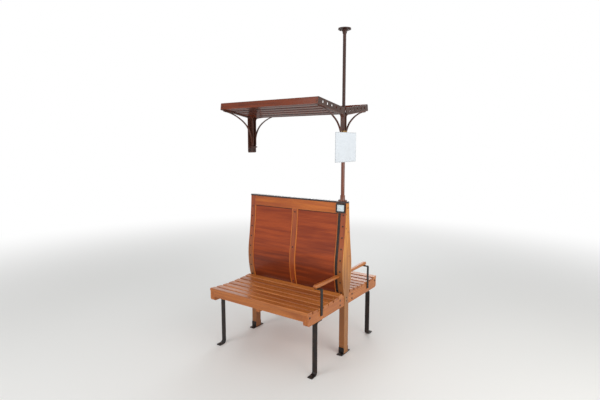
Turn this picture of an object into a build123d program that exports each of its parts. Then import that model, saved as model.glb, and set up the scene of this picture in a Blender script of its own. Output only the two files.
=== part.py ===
from build123d import *
import math
import os

# Railway carriage double bench with a slatted luggage rack on a post.
# Millimetres, +Z up from the carriage floor. X runs across the carriage: the aisle is at +X
# and the side wall at -X. Y runs along the carriage, and Y = 0 is the mid plane of the bench.

# Play between curved or painted faces that meet
TOUCH = 0.3

# Back of the bench: a leaf-shaped outline seen from the aisle
BACK_LENGTH = 900.0
BACK_TOP = 1138.0        # top of the wood, under the cap
BACK_TOP_HALF = 20.0     # half the thickness at the top
BULGE_HALF = 67.0        # half the thickness at the small of the back
BULGE_Z = 655.0
BULGE_RADIUS = 660.0
JOIN_Z = 760.0           # where the bulge runs over into the hollow upper curve
WAIST_Z = 434.0          # where the leaf runs into the straight foot of the upright
UPRIGHT_T = 44.0
MID_UPRIGHT_T = 38.0
TOP_RAIL_H = 76.0
BOTTOM_RAIL_TOP = 470.0
BOTTOM_RAIL_H = 96.0
PANEL_T = 7.0
PANEL_RECESS = 4.0
TONGUE = 5.0             # how far the panels run into the rails
CAP_T = 12.0
CAP_W = 46.0
CAP_ROUND = 4.0
CAP_NOSE_R = 16.0
END_SPACE = 5.0          # the cap's nose past the back, and the wall's distance from it
SHOE_T = 6.0
SHOE_H = 50.0
SHOE_CHEEK = 4.0
SHOE_LUG = 30.0
SHOE_BOLT_R = 4.5

# Number plate and iron strap on each face
FRAME_W = 78.0
FRAME_H = 70.0
FRAME_T = 7.0
FRAME_ROUND = 7.0
FRAME_DROP = 2.0         # below the top of the wood
PLATE_W = 58.0
PLATE_H = 46.0
PLATE_T = 2.0
PLATE_SUNK = 1.5         # the plate's face lies this far behind the face of its frame
STRAP_W = 20.0
STRAP_T = 6.0
STRAP_LOW = 480.0

# Seats
SEAT_FRONT = 516.0       # from the mid plane to the front edge
SEAT_BACK = 52.0
SEAT_Z_BACK = 462.0      # underside of the slats at the back edge
SEAT_Z_DIP = 447.0
SEAT_Z_FRONT = 458.0
SLAT_COUNT = 7
SLAT_T = 18.0
SLAT_GAP = 12.0
SLAT_BEVEL = 4.0
SIDE_RAIL_T = 38.0
SIDE_RAIL_SET = 3.0      # behind the end face of the upright
RAIL_DEPTH = 82.0        # at the back edge, down to the level lower edge
RAIL_NOSE_R = 18.0
FRONT_SET = 10.0         # the rails stop this far behind the front edge of the slats
FRONT_RAIL_T = 24.0
FRONT_RAIL_H = 48.0
BEARER_T = 32.0
LEG_W = 36.0
LEG_T = 8.0
LEG_SET = 122.0          # from the front edge back to the leg
LEG_FLANGE = 62.0
LEG_BEND = 22.0
LEG_BOLT_R = 4.5

# Armrest at the aisle end
ARM_UNDER_Z = 594.0      # underside of the bar
ARM_REAR_H = 19.0
ARM_NOSE_H = 27.0
ARM_W = 30.0
ARM_SET = 26.0           # from the aisle face of the upright to the outer side of the bar
ARM_FRONT = 372.0
ARM_BEVEL = 6.0
IRON_W = 24.0
IRON_T = 6.0
IRON_PAD = 26.0          # how far the iron reaches under the bar
IRON_LAP = 52.0          # how far the iron laps down the side rail
IRON_IN = 14.0           # from the tip of the bar to the edge of the iron

# Post
POST_IN = 44.0           # from the aisle face of the back to the middle of the post
POST_R = 13.5
UPPER_R = 11.5           # the upper post, from the collar to the ceiling
FOOT_T = 7.0
FOOT_HALF_L = 36.0
FOOT_LUG_R = 9.0
FOOT_R = 19.0
FOOT_BELL_H = 36.0
SOCKET_WALL = 3.5
FLARE_CUTS = 4           # straight cuts that turn the hollow of each casting
HEAD_RISE = 425.0        # from the top of the cap to the head of the lower post
CUP_H = 8.0              # the cup that closes the head
CUP_BEVEL = 3.0
COLLAR_RISE = 68.0       # from the head to the underside of the collar
COLLAR_H = 10.0
COLLAR_WALL = 3.0
COLLAR_FLOOR = 3.0
CEILING_Z = 2350.0
FLANGE_R = 45.0
FLANGE_T = 8.0
FLANGE_HUB_R = 27.0
FLANGE_HUB_H = 26.0
FLANGE_PCD = 66.0
FLANGE_BOLTS = 4
FLANGE_BOLT_R = 3.3

# Rack, whose fork legs grip the head of the lower post
BRACKET_W = 28.0
BRACKET_T = 6.0
FORK_BOLT_DROP = 20.0    # from the head down to the bolt through both legs
ARM_RISE = 122.0         # from the underside of the collar to the arm's middle at the fork
ARM_TIP_RISE = 50.0      # from there to the tip of the arm
RACK_HALF = 355.0
CORNER_R = 26.0
BRACE_W = 12.0
BRACE_T = 6.0
BRACE_FOOT_RISE = 12.0   # from the bolt through the legs up to the foot of the brace
BRACE_SHORT = 24.0       # from the tip of the arm back to the end of the brace
BRACE_LAP = 34.0         # straight length riveted under the arm
END_PLATE_H = 44.0
END_PLATE_T = 4.0
END_PLATE_ROUND = 8.0
HOLE_COUNT = 5
HOLE_SIDE = 16.0
RACK_SLATS = 5
RACK_SLAT_W = 49.0
RACK_SLAT_T = 15.0
RACK_SLAT_BEVEL = 3.0
RACK_SLAT_START = 26.0   # from the mid plane to the first slat
RACK_SLAT_END = 4.0      # from the last slat to the outer rail
OUTER_RAIL_T = 24.0
OUTER_RAIL_H = 46.0
OUTER_RAIL_ROUND = 6.0

# Wall end of the rack
WALL_PLATE_T = 5.0
WALL_PLATE_W = 96.0
WALL_PLATE_DROP = 65.0   # below the bolts of the fork legs
WALL_PLATE_LAP = 35.0    # above the arm's middle at the fork
WALL_LEDGE_T = 10.0
WALL_LEDGE_W = 60.0
WALL_BOLT_R = 4.5
WALL_BOLT_EDGE = 20.0

# Notice panel on the aisle side of the post
NOTICE_W = 297.0
NOTICE_H = 210.0
NOTICE_T = 3.0
NOTICE_ROUND = 3.0
NOTICE_OUT = 20.0        # from the middle of the post
NOTICE_DROP = 143.0      # from the head of the lower post to the panel's lower edge
CLAMP_H = 14.0
CLAMP_WALL = 3.0
CLAMP_WEB = 10.0
CLAMP_BAR = 70.0
CLAMP_BAR_T = 3.0
CLAMP_RISES = (10.0, 38.0)   # from the panel's lower edge

# Worked out from the sizes above
AISLE_X = BACK_LENGTH / 2
WALL_X = -BACK_LENGTH / 2
ROOM_WALL_X = WALL_X - END_SPACE
INNER_AISLE_X = AISLE_X - UPRIGHT_T
INNER_WALL_X = WALL_X + UPRIGHT_T
POST_X = AISLE_X - POST_IN
CAP_TOP = BACK_TOP + CAP_T
HEAD_Z = CAP_TOP + HEAD_RISE
COLLAR_Z = HEAD_Z + COLLAR_RISE
FORK_BOLT_Z = HEAD_Z - FORK_BOLT_DROP
FORK_HALF = POST_R + TOUCH + BRACKET_T / 2
ARM_LOW_Z = COLLAR_Z + ARM_RISE
ARM_TIP_Z = ARM_LOW_Z + ARM_TIP_RISE
TOP_RAIL_LOW = BACK_TOP - TOP_RAIL_H
BOTTOM_RAIL_LOW = BOTTOM_RAIL_TOP - BOTTOM_RAIL_H
PANEL_BACK = PANEL_RECESS + PANEL_T
STRAP_PROUD = STRAP_T - PANEL_RECESS
RAIL_LOW_Z = SEAT_Z_BACK - RAIL_DEPTH
LEG_Y = SEAT_FRONT - LEG_SET
ARM_X = AISLE_X - ARM_SET
ARM_ANGLE = math.degrees(math.atan2(ARM_TIP_RISE, RACK_HALF - FORK_HALF))
ARM_LENGTH = math.hypot(ARM_TIP_RISE, RACK_HALF - FORK_HALF)
WALL_ARM_X = ROOM_WALL_X + WALL_PLATE_T + BRACKET_W / 2
SLAT_AISLE_X = POST_X + BRACKET_W / 2 - END_PLATE_T - TOUCH
SLAT_WALL_X = ROOM_WALL_X + WALL_PLATE_T + TOUCH
RAIL_AISLE_X = AISLE_X - SIDE_RAIL_SET
RAIL_WALL_X = WALL_X + SIDE_RAIL_SET
NOTICE_X = POST_X + NOTICE_OUT
REACH = 2 * SEAT_FRONT


def between(x_from, x_to, face):
    """Run a Y-Z outline from one place to another across the carriage."""
    return Pos(x_from, 0, 0) * extrude(Plane.YZ * face, amount=x_to - x_from)


def band(z_low, z_high, side=0):
    """A Y-Z strip between two heights, on both sides of the mid plane or on one."""
    width = 2 * REACH if side == 0 else REACH
    return Pos(side * REACH / 2, (z_low + z_high) / 2) * Rectangle(width, z_high - z_low)


def other_side(shape):
    """The same piece on the other side of the mid plane."""
    return mirror(shape, Plane.XZ)


def leaf(grow=0.0):
    """The leaf outline of the back above its waist, grown square to its face."""
    lift = JOIN_Z - BULGE_Z
    centre = Vector(BULGE_HALF - BULGE_RADIUS, BULGE_Z)
    outward = Vector(math.sqrt(BULGE_RADIUS**2 - lift**2), lift) / BULGE_RADIUS
    join = centre + outward * BULGE_RADIUS
    to_top = Vector(BACK_TOP_HALF, BACK_TOP) - join
    hollow_radius = to_top.length**2 / (2 * to_top.dot(outward))
    hollow = join + outward * hollow_radius

    def bulge(z):
        return (centre.X + math.sqrt((BULGE_RADIUS + grow) ** 2 - (z - centre.Y) ** 2), z)

    def flare(z):
        return (hollow.X - math.sqrt((hollow_radius - grow) ** 2 - (hollow.Y - z) ** 2), z)

    seam = join + outward * grow
    low, middle, high = bulge(WAIST_Z), (seam.X, seam.Y), flare(CAP_TOP)
    right = Curve() + [
        ThreePointArc(low, bulge((WAIST_Z + seam.Y) / 2), middle),
        ThreePointArc(middle, flare((seam.Y + CAP_TOP) / 2), high),
    ]
    ends = [Line(high, (-high[0], high[1])), Line(low, (-low[0], low[1]))]
    return make_face(right + mirror(right, Plane.YZ) + ends)


def waist_half(grow=0.0):
    """Half the thickness of the leaf where it meets the straight foot."""
    return BULGE_HALF - BULGE_RADIUS + math.sqrt((BULGE_RADIUS + grow) ** 2 - (BULGE_Z - WAIST_Z) ** 2)


def back_outline(z_low, z_high, grow=0.0):
    """The outline of the back between two heights, with its straight foot below the waist."""
    foot = Pos(0, WAIST_Z / 2) * Rectangle(2 * waist_half(grow), WAIST_Z)
    return (leaf(grow) + foot) & band(z_low, z_high)


def face_strip(outer, thickness, z_low, z_high):
    """A strip that follows the far face of the back, its outer face grown by outer."""
    return (leaf(outer) - leaf(outer - thickness)) & band(z_low, z_high, 1)


def make_back():
    """Uprights, rails, panels and cap of the double-sided back."""
    groove = leaf(TOUCH - PANEL_RECESS) - leaf(-PANEL_BACK - TOUCH)
    top = back_outline(TOP_RAIL_LOW, BACK_TOP) - (groove & band(0, TOP_RAIL_LOW + TONGUE + TOUCH))
    low = back_outline(BOTTOM_RAIL_LOW, BOTTOM_RAIL_TOP)
    low -= groove & band(BOTTOM_RAIL_TOP - TONGUE - TOUCH, CEILING_Z)
    parts = {
        "aisle_upright": between(INNER_AISLE_X, AISLE_X, back_outline(SHOE_T, BACK_TOP)),
        "wall_upright": between(WALL_X, INNER_WALL_X, back_outline(SHOE_T, BACK_TOP)),
        "mid_upright": between(
            -MID_UPRIGHT_T / 2, MID_UPRIGHT_T / 2, back_outline(BOTTOM_RAIL_TOP, TOP_RAIL_LOW)
        ),
        "top_rail": between(INNER_WALL_X, INNER_AISLE_X, top),
        "bottom_rail": between(INNER_WALL_X, INNER_AISLE_X, low),
        "back_cap": make_cap(),
    }
    panel = face_strip(-PANEL_RECESS, PANEL_T, BOTTOM_RAIL_TOP - TONGUE, TOP_RAIL_LOW + TONGUE)
    bays = {
        "aisle": (MID_UPRIGHT_T / 2 + TOUCH, INNER_AISLE_X - TOUCH),
        "wall": (INNER_WALL_X + TOUCH, -MID_UPRIGHT_T / 2 - TOUCH),
    }
    for end, (x_from, x_to) in bays.items():
        parts[f"far_{end}_panel"] = between(x_from, x_to, panel)
        parts[f"near_{end}_panel"] = other_side(parts[f"far_{end}_panel"])
    return parts


def make_cap():
    """The rounded strip along the top of the back, with its nose at the aisle."""
    section = Pos(0, BACK_TOP + CAP_T / 2) * Rectangle(CAP_W, CAP_T)
    section = fillet(section.vertices().group_by(Axis.Y)[-1], CAP_ROUND)
    cap = between(WALL_X, AISLE_X + END_SPACE, section)
    plan = Rectangle(2 * BACK_LENGTH, CAP_W)
    plan = fillet(plan.vertices(), CAP_NOSE_R)
    return cap & Pos(AISLE_X + END_SPACE - BACK_LENGTH, 0, BACK_TOP) * extrude(plan, amount=CAP_T)


def make_number_plates():
    """Plate frame, blank plate and iron strap on both faces."""
    z_high = BACK_TOP - FRAME_DROP
    z_low = z_high - FRAME_H
    seat = FRAME_T - PLATE_SUNK
    beyond = 2 * FRAME_T

    def layer(outer, thickness):
        strip = face_strip(outer, thickness, z_low, z_high)
        return between(POST_X - FRAME_W / 2, POST_X + FRAME_W / 2, strip)

    def through(face):
        return Pos(POST_X, 0, (z_low + z_high) / 2) * extrude(Plane.XZ * face, amount=-REACH)

    corners = fillet(Rectangle(FRAME_W, FRAME_H).vertices(), FRAME_ROUND)
    frame = layer(FRAME_T, FRAME_T - TOUCH) & through(corners)
    frame -= layer(beyond, beyond - seat + PLATE_T) & through(Rectangle(PLATE_W, PLATE_H))
    plate = layer(seat, PLATE_T) & through(Rectangle(PLATE_W - 2 * TOUCH, PLATE_H - 2 * TOUCH))
    strap_face = face_strip(STRAP_PROUD, STRAP_T - TOUCH, STRAP_LOW, TOP_RAIL_LOW - TOUCH)
    strap = between(INNER_AISLE_X - STRAP_W, INNER_AISLE_X - TOUCH, strap_face)
    parts = {"far_plate_frame": frame, "far_number_plate": plate, "far_strap": strap}
    for name in list(parts):
        parts[name.replace("far", "near")] = other_side(parts[name])
    return parts


def make_shoe(x_from, x_to):
    """An iron shoe under an upright, with a bolt lug on each side."""
    half = waist_half() + TOUCH
    lug_end = half + SHOE_CHEEK + SHOE_LUG
    base = Pos(0, SHOE_T / 2) * Rectangle(2 * lug_end, SHOE_T)
    for side in (-1, 1):
        base += Pos(side * (half + SHOE_CHEEK / 2), SHOE_H / 2) * Rectangle(SHOE_CHEEK, SHOE_H)
    shoe = between(x_from, x_to, base)
    bolt = Cylinder(SHOE_BOLT_R, 3 * SHOE_T)
    for side in (-1, 1):
        shoe -= Pos((x_from + x_to) / 2, side * (lug_end - SHOE_LUG / 2), 0) * bolt
    return shoe


def seat_curve():
    """The dished line that the undersides of the seat slats follow."""
    middle = ((SEAT_BACK + SEAT_FRONT) / 2, SEAT_Z_DIP)
    return ThreePointArc((SEAT_BACK, SEAT_Z_BACK), middle, (SEAT_FRONT, SEAT_Z_FRONT))


def side_face(y_front):
    """Outline of a side rail or bearer from the back to a place near the front edge."""
    outline = seat_curve() + Polyline(
        (SEAT_FRONT, SEAT_Z_FRONT),
        (SEAT_FRONT, RAIL_LOW_Z),
        (0, RAIL_LOW_Z),
        (0, SEAT_Z_BACK),
        (SEAT_BACK, SEAT_Z_BACK),
    )
    room = Pos(y_front / 2, CEILING_Z / 2) * Rectangle(y_front, CEILING_Z)
    return (make_face(outline) & room) - back_outline(0, CAP_TOP, TOUCH)


def slat_section():
    """Section of a seat slat, bevelled along its upper edges, on its underside."""
    width = seat_curve().length / SLAT_COUNT - SLAT_GAP
    section = Pos(0, SLAT_T / 2 + TOUCH) * Rectangle(width, SLAT_T)
    return chamfer(section.vertices().group_by(Axis.Y)[-1], SLAT_BEVEL)


def make_seat():
    """The far seat: slats, front rail, side rails, bearer and legs."""
    curve = seat_curve()
    slats = Part()
    for number in range(SLAT_COUNT):
        at = (number + 0.5) / SLAT_COUNT
        place = curve.position_at(at)
        tilt = curve.tangent_angle_at(at)
        section = Pos(place.X, place.Y) * Rot(Z=tilt) * slat_section()
        slats += between(RAIL_WALL_X, RAIL_AISLE_X, section)
    y_front = SEAT_FRONT - FRONT_SET
    side = side_face(y_front)
    nose = side.vertices().sort_by(Axis.X)[-2:].sort_by(Axis.Y)[0]
    side = fillet(nose, RAIL_NOSE_R)
    rail_back = y_front - FRONT_RAIL_T
    front_room = Pos((y_front + rail_back) / 2, SEAT_Z_FRONT - FRONT_RAIL_H / 2)
    front = side_face(y_front) & front_room * Rectangle(FRONT_RAIL_T, FRONT_RAIL_H)
    aisle_in = RAIL_AISLE_X - SIDE_RAIL_T
    wall_in = RAIL_WALL_X + SIDE_RAIL_T
    parts = {
        "seat_slats": slats,
        "front_rail": between(wall_in, aisle_in, front),
        "aisle_side_rail": between(aisle_in, RAIL_AISLE_X, side),
        "wall_side_rail": between(RAIL_WALL_X, wall_in, side),
        "bearer": between(-BEARER_T / 2, BEARER_T / 2, side_face(rail_back)),
        "aisle_leg": make_leg((aisle_in + RAIL_AISLE_X) / 2),
        "wall_leg": make_leg((wall_in + RAIL_WALL_X) / 2),
        "armrest": make_armrest(),
        "armrest_iron": make_armrest_iron(),
    }
    return parts


def make_leg(x_middle):
    """A flat iron leg, bent under the side rail and out along the floor."""
    top = RAIL_LOW_Z - LEG_T / 2
    path = FilletPolyline(
        (LEG_Y - LEG_FLANGE, top),
        (LEG_Y, top),
        (LEG_Y, LEG_T / 2),
        (LEG_Y + LEG_FLANGE, LEG_T / 2),
        radius=LEG_BEND,
    )
    leg = flat_bar(path, LEG_W, LEG_T, x_middle)
    hole = Pos(x_middle, LEG_Y + LEG_FLANGE - LEG_W / 2, 0) * Cylinder(LEG_BOLT_R, 4 * LEG_T)
    return leg - hole


def flat_bar(path, width, thickness, x_middle):
    """A flat bar bent along a Y-Z path, its width across the carriage."""
    path = Plane.YZ * path
    start = Plane(origin=path @ 0, x_dir=(1, 0, 0), z_dir=path % 0)
    return Pos(x_middle, 0, 0) * sweep(start * Rectangle(width, thickness), path=path)


def make_armrest():
    """The wooden bar of the far armrest, which thickens towards its rounded nose."""
    nose = ARM_FRONT - ARM_NOSE_H / 2
    rear_top = (0, ARM_UNDER_Z + ARM_REAR_H)
    nose_top = (nose, ARM_UNDER_Z + ARM_NOSE_H)
    tip = (ARM_FRONT, ARM_UNDER_Z + ARM_NOSE_H / 2)
    outline = TangentArc(rear_top, nose_top, tangent=(1, 0))
    outline += ThreePointArc(nose_top, tip, (nose, ARM_UNDER_Z))
    outline += Polyline((nose, ARM_UNDER_Z), (0, ARM_UNDER_Z), rear_top)
    bar = between(ARM_X - ARM_W, ARM_X, make_face(outline))
    bar = chamfer(bar.faces().filter_by(Axis.X).edges(), ARM_BEVEL)
    bar -= between(ARM_X - ARM_W, INNER_AISLE_X, back_outline(0, CAP_TOP, STRAP_PROUD + TOUCH))
    return bar - between(INNER_AISLE_X, ARM_X, back_outline(0, CAP_TOP, TOUCH))


def make_armrest_iron():
    """The flat iron that carries the tip of the far armrest on the side rail."""
    x_line = RAIL_AISLE_X + IRON_T / 2
    y_middle = ARM_FRONT - IRON_IN - IRON_W / 2
    under_bar = ARM_UNDER_Z - TOUCH - IRON_T / 2
    path = FilletPolyline(
        (x_line, SEAT_Z_BACK - IRON_LAP), (x_line, under_bar), (ARM_X - IRON_PAD, under_bar), radius=IRON_T
    )
    path = Plane.XZ * path
    start = Plane(origin=path @ 0, x_dir=(0, 1, 0), z_dir=path % 0)
    return Pos(0, y_middle, 0) * sweep(start * Rectangle(IRON_W, IRON_T), path=path)


def make_post():
    """Foot, lower post with its cup, collar, upper post and ceiling flange."""
    foot_top = CAP_TOP + FOOT_T
    bell_top = foot_top + FOOT_BELL_H
    flange_low = CEILING_Z - FLANGE_T
    lugs = [Pos(end * (FOOT_HALF_L - FOOT_LUG_R), 0) * Circle(FOOT_LUG_R) for end in (-1, 1)]
    plan = make_hull((Sketch() + [Circle(FOOT_R), *lugs]).edges())
    foot = Pos(POST_X, 0, CAP_TOP) * extrude(plan, amount=FOOT_T)
    foot += turned(flared(FOOT_R, POST_R + SOCKET_WALL, foot_top, bell_top))
    foot -= rod(foot_top, bell_top, POST_R + TOUCH)
    cup = rod(HEAD_Z, HEAD_Z + CUP_H, POST_R)
    cup = chamfer(cup.edges().group_by(Axis.Z)[-1], CUP_BEVEL)
    hub_low = flange_low - FLANGE_HUB_H
    flange = turned(flared(FLANGE_HUB_R, UPPER_R + SOCKET_WALL, flange_low, hub_low))
    flange += Pos(POST_X, 0, CEILING_Z - FLANGE_T / 2) * Cylinder(FLANGE_R, FLANGE_T)
    flange -= rod(hub_low, flange_low, UPPER_R + TOUCH)
    holes = PolarLocations(FLANGE_PCD / 2, FLANGE_BOLTS) * Cylinder(FLANGE_BOLT_R, 3 * FLANGE_T)
    flange -= [Pos(POST_X, 0, CEILING_Z) * hole for hole in holes]
    return {
        "post_foot": foot,
        "lower_post": rod(foot_top, HEAD_Z, POST_R),
        "post_cup": cup,
        "collar": make_collar(),
        "upper_post": rod(COLLAR_Z + COLLAR_FLOOR, flange_low, UPPER_R),
        "ceiling_flange": flange,
    }


def rod(z_low, z_high, radius):
    """A straight round length on the middle line of the post."""
    return Pos(POST_X, 0, (z_low + z_high) / 2) * Cylinder(radius, z_high - z_low)


def flared(r_wide, r_slim, z_wide, z_slim):
    """Half section of a bell whose hollow, a quarter ellipse, is turned in straight cuts."""
    hollow = []
    for cut in range(FLARE_CUTS + 1):
        turn = math.radians(90 * cut / FLARE_CUTS)
        r = r_wide - (r_wide - r_slim) * math.cos(turn)
        hollow.append((r, z_slim + (z_wide - z_slim) * math.sin(turn)))
    return make_face(Polyline(*hollow, (0, z_wide), (0, z_slim), close=True))


def turned(half_section):
    """A casting turned about the middle of the post."""
    return Pos(POST_X, 0, 0) * revolve(Plane.XZ * half_section, axis=Axis.Z)


def make_collar():
    """The brass collar that ties the fork legs to the foot of the upper post."""
    width = BRACKET_W + 2 * COLLAR_WALL
    depth = 2 * FORK_HALF + BRACKET_T + 2 * COLLAR_WALL
    plan = chamfer(Rectangle(width, depth).vertices(), COLLAR_WALL)
    collar = Pos(POST_X, 0, COLLAR_Z) * extrude(plan, amount=COLLAR_H)
    slot = Box(BRACKET_W + 2 * TOUCH, BRACKET_T + 2 * TOUCH, 3 * COLLAR_H)
    for side in (-1, 1):
        collar -= Pos(POST_X, side * FORK_HALF, COLLAR_Z) * slot
    return collar - rod(COLLAR_Z + COLLAR_FLOOR, COLLAR_Z + COLLAR_H, UPPER_R + TOUCH)


def make_bracket(x_middle):
    """One far fork leg, rounded about its bolt, that bends out into the rack arm."""
    tip = (RACK_HALF, ARM_TIP_Z)
    path = FilletPolyline((FORK_HALF, FORK_BOLT_Z), (FORK_HALF, ARM_LOW_Z), tip, radius=CORNER_R)
    end = Pos(x_middle, FORK_HALF, FORK_BOLT_Z) * Rot(X=90) * Cylinder(BRACKET_W / 2, BRACKET_T)
    return flat_bar(path, BRACKET_W, BRACKET_T, x_middle) + end


def make_brace(x_middle):
    """The far brace: two arcs from the fork leg up to a straight lap under the rack arm."""
    slope = math.radians(ARM_ANGLE)
    along = Vector(math.cos(slope), math.sin(slope))
    foot = Vector(FORK_HALF + (BRACKET_T + BRACE_T) / 2 + TOUCH, FORK_BOLT_Z + BRACE_FOOT_RISE)
    under = Vector(math.sin(slope), -math.cos(slope)) * ((BRACKET_T + BRACE_T) / 2 + TOUCH)
    end = Vector(FORK_HALF, ARM_LOW_Z) + along * (ARM_LENGTH - BRACE_SHORT - BRACE_LAP) + under
    up = Vector(0, 1)
    across = end - foot
    spread = across.dot(up + along)
    turn = 1 - up.dot(along)
    handle = (math.sqrt(spread**2 + 2 * turn * across.dot(across)) - spread) / (2 * turn)
    middle = (foot + up * handle + end - along * handle) / 2
    lower = TangentArc(foot, middle, tangent=up)
    upper = TangentArc(middle, end, tangent=lower % 1)
    return flat_bar(lower + upper + Line(end, end + along * BRACE_LAP), BRACE_W, BRACE_T, x_middle)


def on_arm(y_local, z_local, x=0.0):
    """A place on the far rack arm: along the arm from the fork, and above its middle."""
    return Pos(0, FORK_HALF, ARM_LOW_Z) * Rot(X=ARM_ANGLE) * Pos(x, y_local, z_local)


def make_end_plate():
    """The far plate with square holes that stands on the aisle arm."""
    face = Rectangle(ARM_LENGTH, END_PLATE_H)
    face = fillet(face.vertices().group_by(Axis.Y)[-1], END_PLATE_ROUND)
    pitch = ARM_LENGTH / (HOLE_COUNT + 1)
    for number in range(HOLE_COUNT):
        offset = (number + 1) * pitch - ARM_LENGTH / 2
        face -= Pos(offset, 0) * Rectangle(HOLE_SIDE, HOLE_SIDE)
    plate = extrude(Plane.YZ * face, amount=-END_PLATE_T)
    x_out = POST_X + BRACKET_W / 2
    return on_arm(ARM_LENGTH / 2, (BRACKET_T + END_PLATE_H) / 2, x_out) * plate


def make_rack_slats():
    """The far rack slats, side by side on the arms."""
    first = RACK_SLAT_START - FORK_HALF + RACK_SLAT_W / 2
    last = ARM_LENGTH - OUTER_RAIL_T - RACK_SLAT_END - RACK_SLAT_W / 2
    pitch = (last - first) / (RACK_SLATS - 1)
    section = Rectangle(RACK_SLAT_W, RACK_SLAT_T)
    section = chamfer(section.vertices(), RACK_SLAT_BEVEL)
    slat = extrude(Plane.YZ * section, amount=SLAT_AISLE_X - SLAT_WALL_X)
    slats = Part()
    for number in range(RACK_SLATS):
        slats += on_arm(first + number * pitch, (BRACKET_T + RACK_SLAT_T) / 2, SLAT_WALL_X) * slat
    return slats


def make_outer_rail():
    """The far outer rail that stands on the tips of the arms."""
    section = Rectangle(OUTER_RAIL_T, OUTER_RAIL_H)
    section = fillet(section.vertices().group_by(Axis.Y)[-1], OUTER_RAIL_ROUND)
    rail = extrude(Plane.YZ * section, amount=SLAT_AISLE_X - SLAT_WALL_X)
    return on_arm(ARM_LENGTH - OUTER_RAIL_T / 2, (BRACKET_T + OUTER_RAIL_H) / 2, SLAT_WALL_X) * rail


def make_wall_plate():
    """The plate on the carriage wall, with the ledge under the wall arms."""
    z_low = FORK_BOLT_Z - WALL_PLATE_DROP
    z_high = ARM_LOW_Z + WALL_PLATE_LAP
    plate = Box(WALL_PLATE_T, WALL_PLATE_W, z_high - z_low)
    plate = fillet(plate.edges().filter_by(Axis.X), WALL_BOLT_EDGE / 2)
    plate = Pos(ROOM_WALL_X + WALL_PLATE_T / 2, 0, (z_low + z_high) / 2) * plate
    ledge_l = WALL_PLATE_T + BRACKET_W
    ledge_top = FORK_BOLT_Z - BRACKET_W / 2 - TOUCH
    ledge = Box(ledge_l, WALL_LEDGE_W, WALL_LEDGE_T)
    plate += Pos(ROOM_WALL_X + ledge_l / 2, 0, ledge_top - WALL_LEDGE_T / 2) * ledge
    for z in (z_low + WALL_BOLT_EDGE, z_high - WALL_BOLT_EDGE):
        for side in (-1, 1):
            y = side * (WALL_PLATE_W / 2 - WALL_BOLT_EDGE)
            plate -= Pos(ROOM_WALL_X, y, z) * Rot(Y=90) * Cylinder(WALL_BOLT_R, 4 * WALL_PLATE_T)
    return plate


def make_rack():
    """Arms, braces, slats, rails and end plates of both halves of the rack."""
    far = {
        "aisle_bracket": make_bracket(POST_X),
        "aisle_brace": make_brace(POST_X),
        "wall_bracket": make_bracket(WALL_ARM_X),
        "wall_brace": make_brace(WALL_ARM_X),
        "end_plate": make_end_plate(),
        "rack_slats": make_rack_slats(),
        "outer_rail": make_outer_rail(),
    }
    parts = {"wall_plate": make_wall_plate()}
    for name, shape in far.items():
        parts[f"far_{name}"] = shape
        parts[f"near_{name}"] = other_side(shape)
    return parts


def make_notice():
    """The blank notice panel and the two clamps that hold it to the lower post."""
    face = fillet(Rectangle(NOTICE_W, NOTICE_H).vertices(), NOTICE_ROUND)
    z_low = HEAD_Z - NOTICE_DROP
    panel = Pos(NOTICE_X, 0, z_low + NOTICE_H / 2) * extrude(Plane.YZ * face, amount=NOTICE_T)
    reach = NOTICE_X - POST_X
    ring = Circle(POST_R + CLAMP_WALL) + Pos(reach / 2, 0) * Rectangle(reach, CLAMP_WEB)
    ring += Pos(reach - CLAMP_BAR_T / 2, 0) * Rectangle(CLAMP_BAR_T, CLAMP_BAR)
    ring -= Circle(POST_R)
    clamp = extrude(ring, amount=CLAMP_H)
    clamps = Part() + [Pos(POST_X, 0, z_low + rise) * clamp for rise in CLAMP_RISES]
    return {"notice_panel": panel, "notice_clamps": clamps}


def make_all():
    """Every sub-part by its node name."""
    parts = make_back() | make_number_plates() | make_post() | make_rack() | make_notice()
    parts["aisle_shoe"] = make_shoe(INNER_AISLE_X, AISLE_X)
    parts["wall_shoe"] = make_shoe(WALL_X, INNER_WALL_X)
    for name, shape in make_seat().items():
        parts[f"far_{name}"] = shape
        parts[f"near_{name}"] = other_side(shape)
    return parts


os.makedirs("parts", exist_ok=True)
for node, solid in make_all().items():
    export_step(solid, f"parts/{node}.step")
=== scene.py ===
import logging
import math
from collections.abc import Callable, Iterable, Iterator
from contextlib import contextmanager
from dataclasses import dataclass, replace
from enum import Enum
from itertools import product
from typing import TypeAlias

import bmesh
import bpy
from mathutils import Matrix, Vector


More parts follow.
